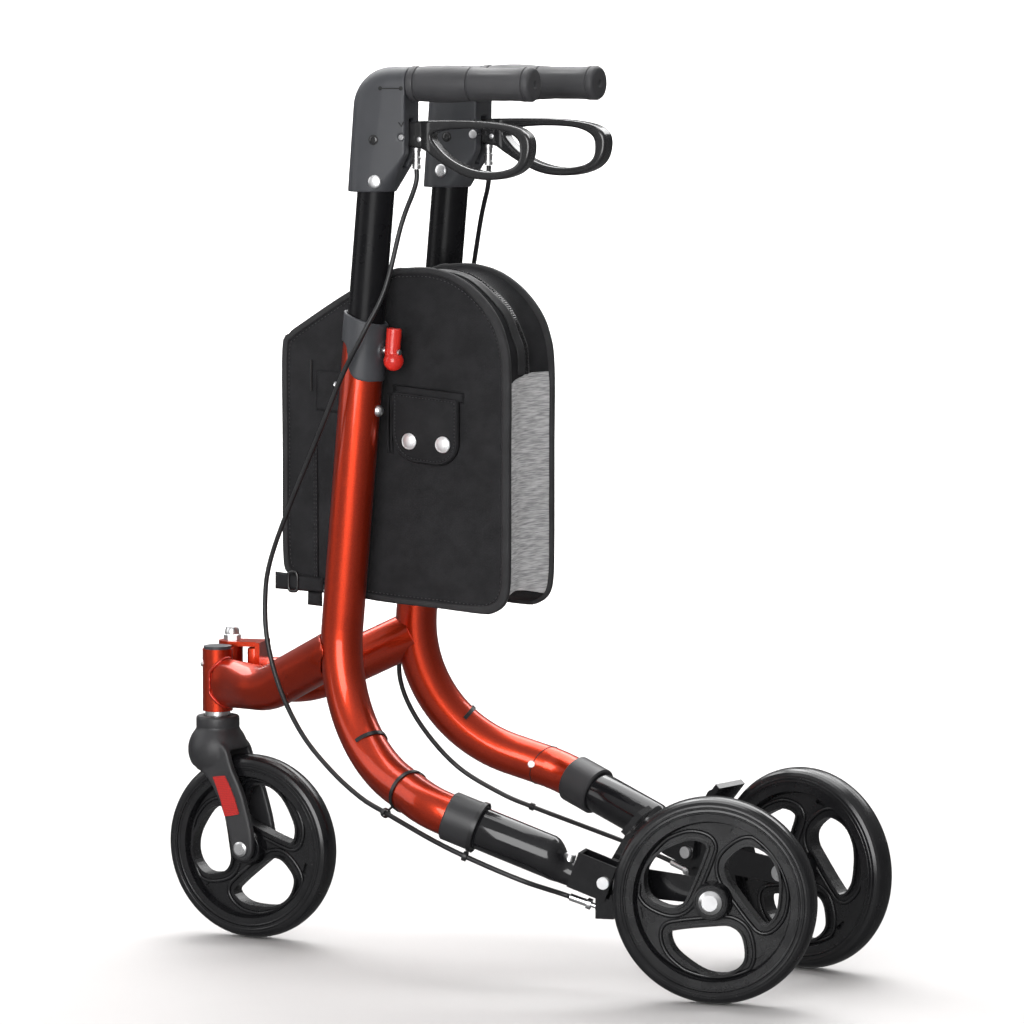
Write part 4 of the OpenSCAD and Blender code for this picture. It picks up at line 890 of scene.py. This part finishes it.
def wheelPoint(kind, side, u, v, w):
    # rim drawing (u, v) and place along the axle (w), all in metres
    item = wheelSet[kind]
    spin, toe = math.radians(item["spin"]), math.radians(item["toe"])
    x, z = u * math.cos(spin) + v * math.sin(spin), -u * math.sin(spin) + v * math.cos(spin)
    cx, cy, cz = item["centre"]
    px, py = cx + x * math.cos(toe) - w * math.sin(toe), cy + x * math.sin(toe) + w * math.cos(toe)
    return Vector((px, -py if side == "right" else py, cz + z))


def makeWheelTrim(kind, side, body, label):
    radius = wheelSet[kind]["radius"]
    centre = wheelPoint(kind, side, 0, 0, 0)
    axle = wheelPoint(kind, side, 0, 0, 1) - centre
    outline = curveThrough(wheelSet["opening"], 8, True)
    normals = loopNormals(outline)
    pocket = wheelSet["pocket"]
    trim, beads = [], []
    for a in turns(wheelSet["spokes"]):
        for face in (-1, 1):
            run = []
            for p, out in zip(outline, normals):
                q = p + out * wheelSet["ridgeOut"]
                q = q * min(1.0, wheelSet["ridgeMost"] / q.length)
                u, v = q.x * math.cos(a) - q.y * math.sin(a), q.x * math.sin(a) + q.y * math.cos(a)
                run.append(wheelPoint(kind, side, u * radius, v * radius, face * wheelSet["web"]))
            trim.append(tubeAlong("ridge", run, wheelSet["ridge"], rimBlack, closed=True, sides=2))
        # floor of the pocket near the end of each spoke
        b = a + math.radians(pocket["turn"])
        at = radius * pocket["share"]
        place = wheelPoint(kind, side, at * math.cos(b), at * math.sin(b), pocket["deep"])
        trim.append(turned("pocketFloor", pocket["rings"], place, axle, rimBlack, 16))
    for face in (-1, 1):
        for name, pile, material in (
                ("rimStep", trim, rimBlack), ("hubBead", trim, rimBlack), ("sidewallBead", beads, tyreBlack)):
            ring = wheelSet[name]
            wide = ring["radius"] if "radius" in ring else radius - ring["inside"]
            pile.append(ringBead(name, centre + axle * face * ring["out"], axle, wide, ring["thick"], material))
    carried(joined(trim, label + "RimRidges"), body, "rim_black")
    carried(joined(beads, label + "SidewallBeads"), body, "tyre_black")


# bag: outline as shares of its length and height, and the side panels
bagSet = {
    "front": -0.224, "low": 0.355, "length": 0.258, "height": 0.342, "half": 0.049, "panel": 0.004, "steps": 12,
    "inset": 0.0015, "points": 160, "sunk": 0.0006, "cloth": 0.0032, "crown": 0.0022, "ripple": 0.0007,
    "rings": [1, 0.985, 0.96, 0.92, 0.86, 0.78, 0.68, 0.56, 0.43, 0.29, 0.15],
    "shares": [
        (0.019, 0.085), (0.078, 0.058), (0.388, 0.023), (0.698, 0.009), (0.876, 0), (0.93, 0.003), (0.977, 0.026),
        (0.996, 0.073), (1, 0.19), (1, 0.45), (1, 0.716), (0.977, 0.813), (0.934, 0.877), (0.86, 0.936),
        (0.764, 0.98), (0.655, 1), (0.547, 0.998), (0.488, 0.991), (0.298, 0.924), (0.081, 0.825), (0.027, 0.795),
        (0, 0.751), (0, 0.45), (0, 0.146)],
}
bagHalf = bagSet["half"]


def bagOutline(inset):
    length, height = bagSet["length"] - 2 * inset, bagSet["height"] - 2 * inset
    return [
        Vector((bagSet["front"] + inset + p.x * length, bagSet["low"] + inset + p.y * height))
        for p in curveThrough(bagSet["shares"], bagSet["steps"], True)]


def makePanel(side, sign):
    # crowned sheet in rings from the edge to the middle, given its thickness afterwards
    edge, _ = evenLoop(bagOutline(bagSet["inset"]), bagSet["points"])
    middle = Vector((bagSet["front"] + bagSet["length"] * 0.5, bagSet["low"] + bagSet["height"] * 0.5))
    base = bagHalf - bagSet["sunk"]
    verts = []
    for share in bagSet["rings"]:
        for p in edge:
            q = middle + (p - middle) * share
            rise = bagSet["crown"] * (1 - share ** 6)
            wave = math.sin(38 * q.x + 9 * q.y) * math.sin(31 * q.y + 1.3) * (1 - share ** 8)
            verts.append(Vector((q.x, sign * (base + rise * 0.5 + bagSet["ripple"] * wave), q.y)))
    verts.append(Vector((middle.x, sign * (base + bagSet["crown"] * 0.5), middle.y)))
    panel = meshPiece(side + "BagPanel", verts, domeFaces(len(bagSet["rings"]), len(edge)), bagCloth)
    faceTowards(panel, (0, sign, 0))
    applyModifier(panel, "SOLIDIFY", thickness=bagSet["cloth"], offset=-1)
    carried(panel, side + "_frame", "bag_fabric", "bag_" + side + "_panel")


bindingSet = {
    "inset": 0.0036, "points": 240, "round": 14, "size": 0.0034, "square": 0.6, "sunk": 0.0017,
    "rearFull": 0.45, "rearFrom": -0.04, "rearTo": 0.02,
}


def makeBinding(side, sign):
    # tape round the edge, broader and fuller along the rear
    size, square, m = bindingSet["size"], bindingSet["square"], bindingSet["round"]
    points, _ = evenLoop(bagOutline(bindingSet["inset"]), bindingSet["points"])
    verts = []
    for p, out in zip(points, loopNormals(points)):
        full = 1 + mixed(bindingSet["rearFrom"], bindingSet["rearTo"], bindingSet["rearFull"], p.x)
        for a in turns(m):
            q = p + out * (size * full * squared(math.cos(a), square) - size * (full - 1))
            y = sign * (bagHalf - bindingSet["sunk"]) + size * squared(math.sin(a), square)
            verts.append(Vector((q.x, y, q.y)))
    n = len(points)
    faces = []
    for i in range(n):
        j = (i + 1) % n
        for k in range(m):
            l = (k + 1) % m
            faces.append((i * m + k, j * m + k, j * m + l, i * m + l))
    carried(meshPiece(side + "BagBinding", verts, faces, bindingTape), side + "_frame", "bag_fabric")


stitchSet = {
    "step": 0.0043, "long": 0.0029, "half": 0.00045, "high": 0.0006, "inset": 0.0092, "points": 400, "lift": 0.0009,
    "wingX": (-0.1862, -0.1838), "wingZ": (0.522, 0.375), "wingLift": 0.0022,
    "faces": ((0, 1, 4), (1, 3, 4), (3, 2, 4), (2, 0, 4), (0, 2, 3, 1)),
}


def stitchRun(name, points, baseY, sign, step=stitchSet["step"], long=stitchSet["long"]):
    # row of thread stitches lying on a panel, points are (x, z)
    half, high = stitchSet["half"], stitchSet["high"]
    corners = ((-long / 2, 0, 0), (0, -half, 0), (0, half, 0), (long / 2, 0, 0), (0, 0, high))
    verts, faces = [], []
    walk = step
    for a, b in zip(points, points[1:]):
        d = (b - a).length
        t = (b - a).normalized()
        aside = Vector((-t.y, t.x))
        while walk <= d:
            c = a + t * walk
            k = len(verts)
            for da, ds, dn in corners:
                q = c + t * da + aside * ds
                verts.append(Vector((q.x, sign * (baseY + dn), q.y)))
            faces += [tuple(k + v for v in f) for f in stitchSet["faces"]]
            walk += step
        walk -= d
    return meshPiece(name, verts, faces, stitchThread, smooth=False)


def makeStitches(side, sign):
    edge, _ = evenLoop(bagOutline(stitchSet["inset"]), stitchSet["points"])
    rows = [stitchRun("stitch", edge + edge[:1], bagHalf + stitchSet["lift"], sign)]
    if side == "left":
        for x in stitchSet["wingX"]:
            line = [Vector((x, z)) for z in stitchSet["wingZ"]]
            rows.append(stitchRun("stitch", line, bagHalf + stitchSet["wingLift"], sign))
    carried(joined(rows, side + "BagStitches"), side + "_frame", "bag_fabric")


def softPatch(name, corners, rise, lift, cells=(14, 10), bulge=0.0):
    # cloth or webbing sewn on the left panel; corners are (x, z) from lower left, anticlockwise
    a, b, c, d = (Vector(p) for p in corners)
    nu, nv = cells
    verts = []
    for j in range(nv + 1):
        for i in range(nu + 1):
            u, v = i / nu, j / nv
            q = a.lerp(b, u).lerp(d.lerp(c, u), v)
            edge = (1 - abs(2 * u - 1) ** 10) * (1 - abs(2 * v - 1) ** 10)
            full = math.sin(math.pi * u) * math.sin(math.pi * v)
            verts.append(Vector((q.x, -(bagHalf + lift + rise * edge + bulge * full), q.y)))
    patch = meshPiece(name, verts, gridFaces(nv, nu), bagCloth)
    faceTowards(patch, (0, -1, 0))
    applyModifier(patch, "SOLIDIFY", thickness=0.0012, offset=-1)
    carried(patch, "left_frame", "bag_fabric")


# cloth strips between the panels
gussetSet = {
    "inset": 0.004, "points": 800, "columns": 24, "thick": 0.0016, "rearFold": 0.011, "topFold": 0.005, "ridge": 0.4,
    "rearTop": (0.034, 0.591), "rearLow": (0.028, 0.366), "slant": 0.012, "slantOver": 0.045,
    "blend": ((0, -0.044, 0.5), (0, 0.044, 0.5)),
}
gussetHalf = bagHalf - bagSet["panel"] * 0.5
gussetEdge, gussetRun = evenLoop(bagOutline(gussetSet["inset"]), gussetSet["points"])
gussetOut = loopNormals(gussetEdge)


def edgeShare(place):
    want = Vector(place)
    return min(range(len(gussetEdge)), key=lambda i: (gussetEdge[i] - want).length) / len(gussetEdge)


rearTop = edgeShare(gussetSet["rearTop"])
rearLow = edgeShare(gussetSet["rearLow"])


def slantTop(y):
    return rearTop - gussetSet["slant"] * max(0.0, min(1.0, (-y) / gussetSet["slantOver"]))


def gussetFold(p, across):
    # the zip rides on a ridge between two valleys on top, the rear is one deep fold
    low = mixed(0.60, 0.575, 1.0, p.y) if p.x > -0.02 else 0.0
    valley = 1 - (2 * abs(across) - 1) ** 2
    ridge = gussetSet["ridge"] * max(0.0, 1 - abs(across) / 0.5)
    rear = mixed(-0.06, 0.02, 1.0, p.x)
    deep = gussetSet["topFold"] + (gussetSet["rearFold"] - gussetSet["topFold"]) * rear
    twin = max(valley, ridge)
    single = 1 - abs(across) ** 1.4
    wave = 0.0007 * math.sin(70 * p.y + 40 * p.x) + 0.0006 * math.sin(160 * p.y - 3 * across)
    return deep * (twin * (1 - low) + single * low) + wave * (1 - across ** 2)


def makeStrip(name, startAt, endAt, cells, material, thick, lift=0.0, band=(-gussetHalf, gussetHalf)):
    # startAt and endAt give the run along the edge for each place across
    columns, rows = cells
    verts = []
    for c in range(columns + 1):
        y = band[0] + (band[1] - band[0]) * c / columns
        a, b = startAt(y), endAt(y)
        for r in range(rows + 1):
            s = (a + (b - a) * r / rows) % 1.0
            i = int(s * len(gussetEdge)) % len(gussetEdge)
            q = gussetEdge[i] - gussetOut[i] * (gussetFold(gussetEdge[i], y / gussetHalf) - lift)
            verts.append(Vector((q.x, y, q.y)))
    strip = meshPiece(name, verts, gridFaces(columns, rows), material)
    return applyModifier(strip, "SOLIDIFY", thickness=thick, offset=0)


def spanBag(obj, slotName, *replaced):
    # fixed in world space, not attached to either frame; the CAD pieces it replaces are hidden
    if replaced:
        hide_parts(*replaced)
    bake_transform(obj)


def makeGussets():
    columns, thick = gussetSet["columns"], gussetSet["thick"]
    heather = makeStrip("heatherGusset", lambda y: rearLow, slantTop, (columns, 60), heatherCloth, thick)
    dark = makeStrip("darkGusset", slantTop, lambda y: rearLow + 1.0, (columns, 220), bagCloth, thick)
    spanBag(heather, "heather_fabric", "bag_rear_gusset")
    spanBag(dark, "bag_fabric", "bag_gusset")


zipSet = {
    "end": (-0.20, 0.638), "pitch": 0.0017, "apart": 0.0012, "stagger": 0.0006, "lift": 0.0012,
    "along": (-0.0005, 0.0005), "across": (-0.0019, 0.0019), "deep": (-0.0008, 0.0012),
    "faces": ((0, 1, 3, 2), (4, 6, 7, 5), (0, 4, 5, 1), (2, 3, 7, 6), (0, 2, 6, 4), (1, 5, 7, 3)),
    "tapes": {"zipTapeNear": (-0.0115, -0.0034), "zipTapeFar": (0.0034, 0.0115)},
    "tapeCells": (6, 160), "tapeThick": 0.0008, "tapeLift": 0.0014,
}


def makeZip():
    # teeth along the middle of the top strip, between two raised tapes
    count = gussetSet["points"]
    begin, end = int(rearTop * count), int(edgeShare(zipSet["end"]) * count)
    verts, faces = [], []
    walk, lastPoint = 0.0, gussetEdge[begin]
    for p, out in zip(gussetEdge[begin:end], gussetOut[begin:end]):
        walk += (p - lastPoint).length
        lastPoint = p
        if walk < zipSet["pitch"]:
            continue
        walk = 0.0
        along = Vector((-out.y, out.x))
        base = p - out * (gussetFold(p, 0) - zipSet["lift"])
        stagger = zipSet["stagger"] if (len(verts) // 16) % 2 else -zipSet["stagger"]
        for face in (-1, 1):
            y = face * zipSet["apart"] + stagger
            k = len(verts)
            for da in zipSet["along"]:
                for dy in zipSet["across"]:
                    for dn in zipSet["deep"]:
                        q = base + along * da + out * dn
                        verts.append(Vector((q.x, y + dy, q.y)))
            faces += [tuple(k + v for v in f) for f in zipSet["faces"]]
    spanBag(meshPiece("zipTeeth", verts, faces, leverBlack, smooth=False), "lever_black")
    for name, band in zipSet["tapes"].items():
        tape = makeStrip(
            name, lambda y: begin / count, lambda y: end / count, zipSet["tapeCells"], satinTape,
            zipSet["tapeThick"], zipSet["tapeLift"], band)
        spanBag(tape, "bag_fabric")


for side, sign in (("left", -1), ("right", 1)):
    makePanel(side, sign)
    makeBinding(side, sign)
    makeStitches(side, sign)
makeGussets()
makeZip()
print("bag made")

# pocket flap with a turned edge, domed snaps and a tuck at its front
flapSet = {
    "x": -0.0585, "z": 0.5365, "wide": 0.075, "high": 0.069, "round": 0.026, "topRound": 0.003, "slope": -0.085,
    "points": 96, "lift": 0.0012, "middle": 0.0096, "ripple": 0.0005, "cloth": 0.0022,
    "rings": [
        (1, 0.0006), (0.985, 0.0030), (0.955, 0.0048), (0.92, 0.0050), (0.89, 0.0042), (0.86, 0.0046),
        (0.65, 0.0066), (0.4, 0.0078), (0.18, 0.0083)],
    "hem": {"share": 0.89, "lift": 0.0056, "step": 0.0036, "long": 0.0024},
    "strip": {"past": 0.004, "below": 0.004, "above": 0.006, "rise": 0.0030, "lift": 0.0014},
    "tucks": (0.0035, 0.0075), "tuckWide": 0.0032,
    "snaps": ((-0.0745, 0.5245), (-0.037, 0.5225)), "snapRadius": 8.2,
}


def makeFlap():
    w, h, r, tip = flapSet["wide"] / 2, flapSet["high"] / 2, flapSet["round"], flapSet["topRound"]
    x, z, slope = flapSet["x"], flapSet["z"], flapSet["slope"]
    edge = []
    for cx, cz, start, rad in (
            (w - r, -h + r, -90, r), (w - tip, h - tip, 0, tip),
            (-w + tip, h - tip, 90, tip), (-w + r, -h + r, 180, r)):
        for k in range(9):
            a = math.radians(start + 90 * k / 8)
            edge.append(Vector((cx + rad * math.cos(a), cz + rad * math.sin(a))))
    edge, _ = evenLoop(edge, flapSet["points"])
    verts = []
    for share, rise in flapSet["rings"]:
        for p in edge:
            q = p * share
            ripple = flapSet["ripple"] * math.sin(90 * q.x + 30 * q.y) * (1 - share)
            verts.append(Vector((x + q.x, -(bagHalf + flapSet["lift"] + rise + ripple), z + q.y + slope * q.x)))
    verts.append(Vector((x, -(bagHalf + flapSet["middle"]), z)))
    flap = meshPiece("pocketFlap", verts, domeFaces(len(flapSet["rings"]), len(edge)), bagCloth)
    faceTowards(flap, (0, -1, 0))
    applyModifier(flap, "SOLIDIFY", thickness=flapSet["cloth"], offset=-1)
    carried(flap, "left_frame", "bag_fabric", "pocket_flap")
    # stitched hem inside the turned edge
    hem = flapSet["hem"]
    share = hem["share"]
    line = [Vector((x + p.x * share, z + p.y * share + slope * p.x * share)) for p in edge]
    row = stitchRun("flapStitches", line + line[:1], bagHalf + hem["lift"], -1, hem["step"], hem["long"])
    carried(row, "left_frame", "bag_fabric")
    # top strip that holds the flap, and two tucks at the front
    strip = flapSet["strip"]
    x0, x1 = x - w, x + w + strip["past"]
    low, high, tilt = z + h - strip["below"], z + h + strip["above"], slope * w
    softPatch(
        "flapTopStrip", [(x0, low - tilt), (x1, low + tilt), (x1, high + tilt), (x0, high - tilt)],
        strip["rise"], strip["lift"])
    for k, ahead in enumerate(flapSet["tucks"]):
        near, far = x0 - ahead, x0 - ahead + flapSet["tuckWide"]
        softPatch(
            "pocketTuck%d" % k, [(near, 0.512), (far, 0.510), (far, 0.570), (near, 0.571)],
            0.0016, 0.0006, (6, 20), 0.0008)
    r = flapSet["snapRadius"]
    cap = [
        (r, -0.6), (r, 0.5), (r - 0.4, 1.0), (r - 1.0, 1.2), (r - 1.3, 1.1), (r - 1.7, 1.4), (r - 2.8, 2.0),
        (r - 4.4, 2.5), (r - 6.2, 2.8), (0.7, 2.9)]
    snaps = [
        turned("snap", cap, landOn(flap, (sx, -0.2, sz), (0, 1, 0))[0], (0, -1, 0), satinNickel, 36)
        for sx, sz in flapSet["snaps"]]
    carried(joined(snaps, "flapSnapCaps"), "left_frame", "bright_steel", "flap_snaps")


makeFlap()
print("pocket made")

# webbing and straps that hold the bag to the frame: corners, rise, lift, cells and bulge of each
strapSet = {
    "strapPatch": ([(-0.184, 0.551), (-0.150, 0.548), (-0.150, 0.590), (-0.184, 0.592)], 0.0016, 0.0008),
    "wingSeam": (
        [(-0.1878, 0.372), (-0.1822, 0.372), (-0.1822, 0.524), (-0.1878, 0.524)], 0.0014, 0.0004, (6, 30)),
    "lowerWebbing": (
        [(-0.232, 0.369), (-0.176, 0.3675), (-0.176, 0.3825), (-0.232, 0.3865)], 0.0022, 0.0014, (20, 8), 0.001),
    "webbingTail": (
        [(-0.195, 0.3545), (-0.178, 0.3535), (-0.178, 0.3675), (-0.1945, 0.368)], 0.0018, 0.0008, (8, 8), 0.0012),
}
strapBits = {
    "slot": {"x": -0.1895, "z": 0.5705, "long": 0.031, "lift": 0.0014, "thick": 0.0011},
    "eye": {"x": -0.160, "z": 0.578, "lift": 0.0034, "rings": [
        (2.6, -0.4), (2.6, 0.5), (2.0, 0.9), (1.3, 0.6), (1.0, 0.1)]},
    "buckle": {"x": -0.2095, "z": 0.3775, "wide": 0.0052, "high": 0.0098, "lift": 0.0048, "thick": 0.0015},
}


def makeStraps():
    for name, row in strapSet.items():
        softPatch(name, *row)
    slot, eye, buckle = strapBits.values()
    # dark line in the strap's slot: painted shade of the opening
    run = [Vector((slot["x"], -(bagHalf + slot["lift"]), slot["z"] + slot["long"] * k / 8)) for k in range(9)]
    carried(tubeAlong("strapSlotShade", run, slot["thick"], paintedRecessShade), "left_frame", "lever_black")
    eyeAt = (eye["x"], -(bagHalf + eye["lift"]), eye["z"])
    carried(turned("strapEyelet", eye["rings"], eyeAt, (0, -1, 0), brightSteel, 24), "left_frame", "bright_steel")
    # buckle loop on the webbing
    loop = [
        Vector((
            buckle["x"] + buckle["wide"] * squared(math.cos(a), 0.5), -(bagHalf + buckle["lift"]),
            buckle["z"] + buckle["high"] * squared(math.sin(a), 0.5)))
        for a in turns(48)]
    carried(
        tubeAlong("webbingBuckle", loop, buckle["thick"], leverBlack, closed=True), "left_frame", "lever_black")


makeStraps()
print("straps made")


def declareCloth():
    # what each piece of cloth was cut to, in metres, and the narrow pieces sewn on it
    inset = bagSet["inset"]
    outline = bagOutline(inset)
    panelArea = abs(sum(a.x * b.y - b.x * a.y for a, b in zip(outline, outline[1:] + outline[:1]))) / 2
    panelCut = (bagSet["length"] - 2 * inset, bagSet["height"] - 2 * inset)
    across, rear = 2 * bagHalf, (rearTop - rearLow) % 1.0
    cuts = {
        "leftBagPanel": (panelCut, panelArea, "left_main_tube", (
            "leftBagBinding", "leftBagStitches", "wingSeam", "pocketTuck0", "pocketTuck1")),
        "rightBagPanel": (panelCut, panelArea, "right_main_tube", ("rightBagBinding", "rightBagStitches")),
        "heatherGusset": ((across, gussetRun * rear), None, "leftBagPanel", ()),
        "darkGusset": (
            (across, gussetRun * (1 - rear)), None, "leftBagPanel", ("zipTeeth", "zipTapeNear", "zipTapeFar")),
        "pocketFlap": ((flapSet["wide"], flapSet["high"]), None, "leftBagPanel", ("flapStitches",)),
        "flapTopStrip": ((0.079, 0.011), None, "leftBagPanel", ()),
        "strapPatch": ((0.035, 0.042), None, "leftBagPanel", ()),
        "lowerWebbing": ((0.056, 0.017), None, "leftBagPanel", ()),
        "webbingTail": ((0.017, 0.015), None, "leftBagPanel", ()),
    }
    for name, (flat, area, on, sewn) in cuts.items():
        print(name, "cut to", round(flat[0], 3), "by", round(flat[1], 3))


declareCloth()

makeWheelTrim("rear", "left", "left_wheel", "leftRear")
makeWheelTrim("rear", "right", "right_wheel", "rightRear")
makeWheelTrim("front", "left", "front_wheel", "front")
print("wheels trimmed")

# floor, backdrop and soft light
stageSet = {
    "size": 40, "floor": (0.58, 0.566, 0.562), "floorZ": -0.0006, "floorGlow": (0.9, 4.5, 0.0, 0.75),
    "wall": (0.9, 0.9, 0.9), "wallGlow": 0.40, "wallAway": 10.6, "wallZ": 10,
    "room": {"low": 0.13, "front": 0.28, "sky": 0.30, "frontWay": (0.17, -0.985, 0.10)},
}
white = (1, 1, 1, 1)


def stagePlane(name, shade, place, turn):
    clearPick()
    bpy.ops.mesh.primitive_plane_add(size=stageSet["size"], location=place, rotation=turn)
    plane = bpy.context.active_object
    plane.name = name
    plane.data.materials.append(shade)
    plane.visible_glossy = False  # not mirrored in the object, so dark finishes stay deep


def makeFloor():
    # painted light: the floor glows more with distance, for the camera only, so it looks paler far away
    shade, tree, shader = newMaterial(
        "paleFloor", Roughness=0.6, Base_Color=(*stageSet["floor"], 1), Emission_Color=white)
    marks = useGroup(tree, handlingMarks, Size=3.0, Low=0.55, High=0.68)
    place = addNode(tree, "TexCoord")
    away = addNode(tree, "VectorMath", operation="LENGTH")
    farGlow = easedRange(tree, *stageSet["floorGlow"])
    seen = addNode(tree, "LightPath")
    shown = addNode(tree, "Math", operation="MULTIPLY")
    wire(
        tree, (marks, "Roughness", shader, "Roughness"), (place, "Object", away, 0), (away, "Value", farGlow, "Value"),
        (farGlow, "Result", shown, 0), (seen, "Is Camera Ray", shown, 1), (shown, "Value", shader, "Emission Strength"))
    stagePlane("paleFloor", shade, (0, 0, stageSet["floorZ"]), (0, 0, 0))


def makeWall():
    # glows for the camera only, so it stays white without lighting the far edges; clear from behind
    shade, tree, shader = newMaterial(
        "whiteBackdrop", Roughness=0.8, Base_Color=(*stageSet["wall"], 1), Emission_Color=white)
    seen = addNode(tree, "LightPath")
    glow = addNode(tree, "Math", operation="MULTIPLY")
    glow.inputs[1].default_value = stageSet["wallGlow"]
    behind = addNode(tree, "NewGeometry")
    clear = addNode(tree, "BsdfTransparent")
    oneSided = addNode(tree, "MixShader")
    wire(
        tree, (seen, "Is Camera Ray", glow, 0), (glow, "Value", shader, "Emission Strength"),
        (behind, "Backfacing", oneSided, "Fac"), (shader, "BSDF", oneSided, 1), (clear, "BSDF", oneSided, 2),
        (oneSided, "Shader", tree.nodes["Material Output"], "Surface"))
    turn, away = math.radians(cameraSet["turn"]), stageSet["wallAway"]
    x, y, _ = cameraSet["place"]
    stagePlane(
        "whiteBackdrop", shade, (x - away * math.sin(turn), y + away * math.cos(turn), stageSet["wallZ"]),
        (math.radians(90), 0, turn))


makeFloor()
makeWall()

lightSet = {
    "key": {"place": (0.85, -3.75, 1.2), "size": (2.3, 2.4), "power": 112, "aim": (-0.05, 0, 0.5)},
    "side": {"place": (-2.6, -1.5, 1.4), "size": (1.6, 2.2), "power": 16, "aim": (0, 0, 0.5)},
    "top": {"place": (-0.7, 1.1, 3.0), "size": (3.0, 3.0), "power": 120, "aim": (-0.7, 1.1, 0)},
    "floorWash": {"place": (-1.75, 3.3, 3.4), "size": (9.0, 2.2), "power": 300, "turn": cameraSet["turn"]},
}
for name, item in lightSet.items():
    lamp = bpy.data.lights.new(name, "AREA")
    lamp.shape = "RECTANGLE"
    lamp.size, lamp.size_y = item["size"]
    lamp.energy = item["power"]
    holder = linked(name, lamp)
    holder.location = item["place"]
    if "aim" in item:
        holder.rotation_euler = (Vector(item["aim"]) - Vector(item["place"])).to_track_quat("-Z", "Y").to_euler()
    else:
        holder.rotation_euler = (0, 0, math.radians(item["turn"]))


def makeRoom():
    # bright in front of the object and overhead, dark on its right; plain white where the camera sees it
    room = stageSet["room"]
    scene.world = bpy.data.worlds.new("softRoom")
    scene.world.use_nodes = True
    sky = scene.world.node_tree
    back = sky.nodes["Background"]
    back.inputs["Color"].default_value = white
    coord = addNode(sky, "TexCoord")
    facing = addNode(sky, "VectorMath", operation="DOT_PRODUCT")
    facing.inputs[1].default_value = room["frontWay"]
    front = easedRange(sky, 0.15, 0.95, room["low"], room["low"] + room["front"])
    split = addNode(sky, "SeparateXYZ")
    above = easedRange(sky, 0.1, 0.95, 0.0, room["sky"])
    total = addNode(sky, "Math", operation="ADD")
    seen = addNode(sky, "LightPath")
    shown = addNode(sky, "Mix", B=1.0)
    wire(
        sky, (coord, "Generated", facing, 0), (facing, "Value", front, "Value"), (coord, "Generated", split, "Vector"),
        (split, "Z", above, "Value"), (front, "Result", total, 0), (above, "Result", total, 1),
        (seen, "Is Camera Ray", shown, "Factor"), (total, "Value", shown, "A"), (shown, "Result", back, "Strength"))


makeRoom()
print("stage and lights set")
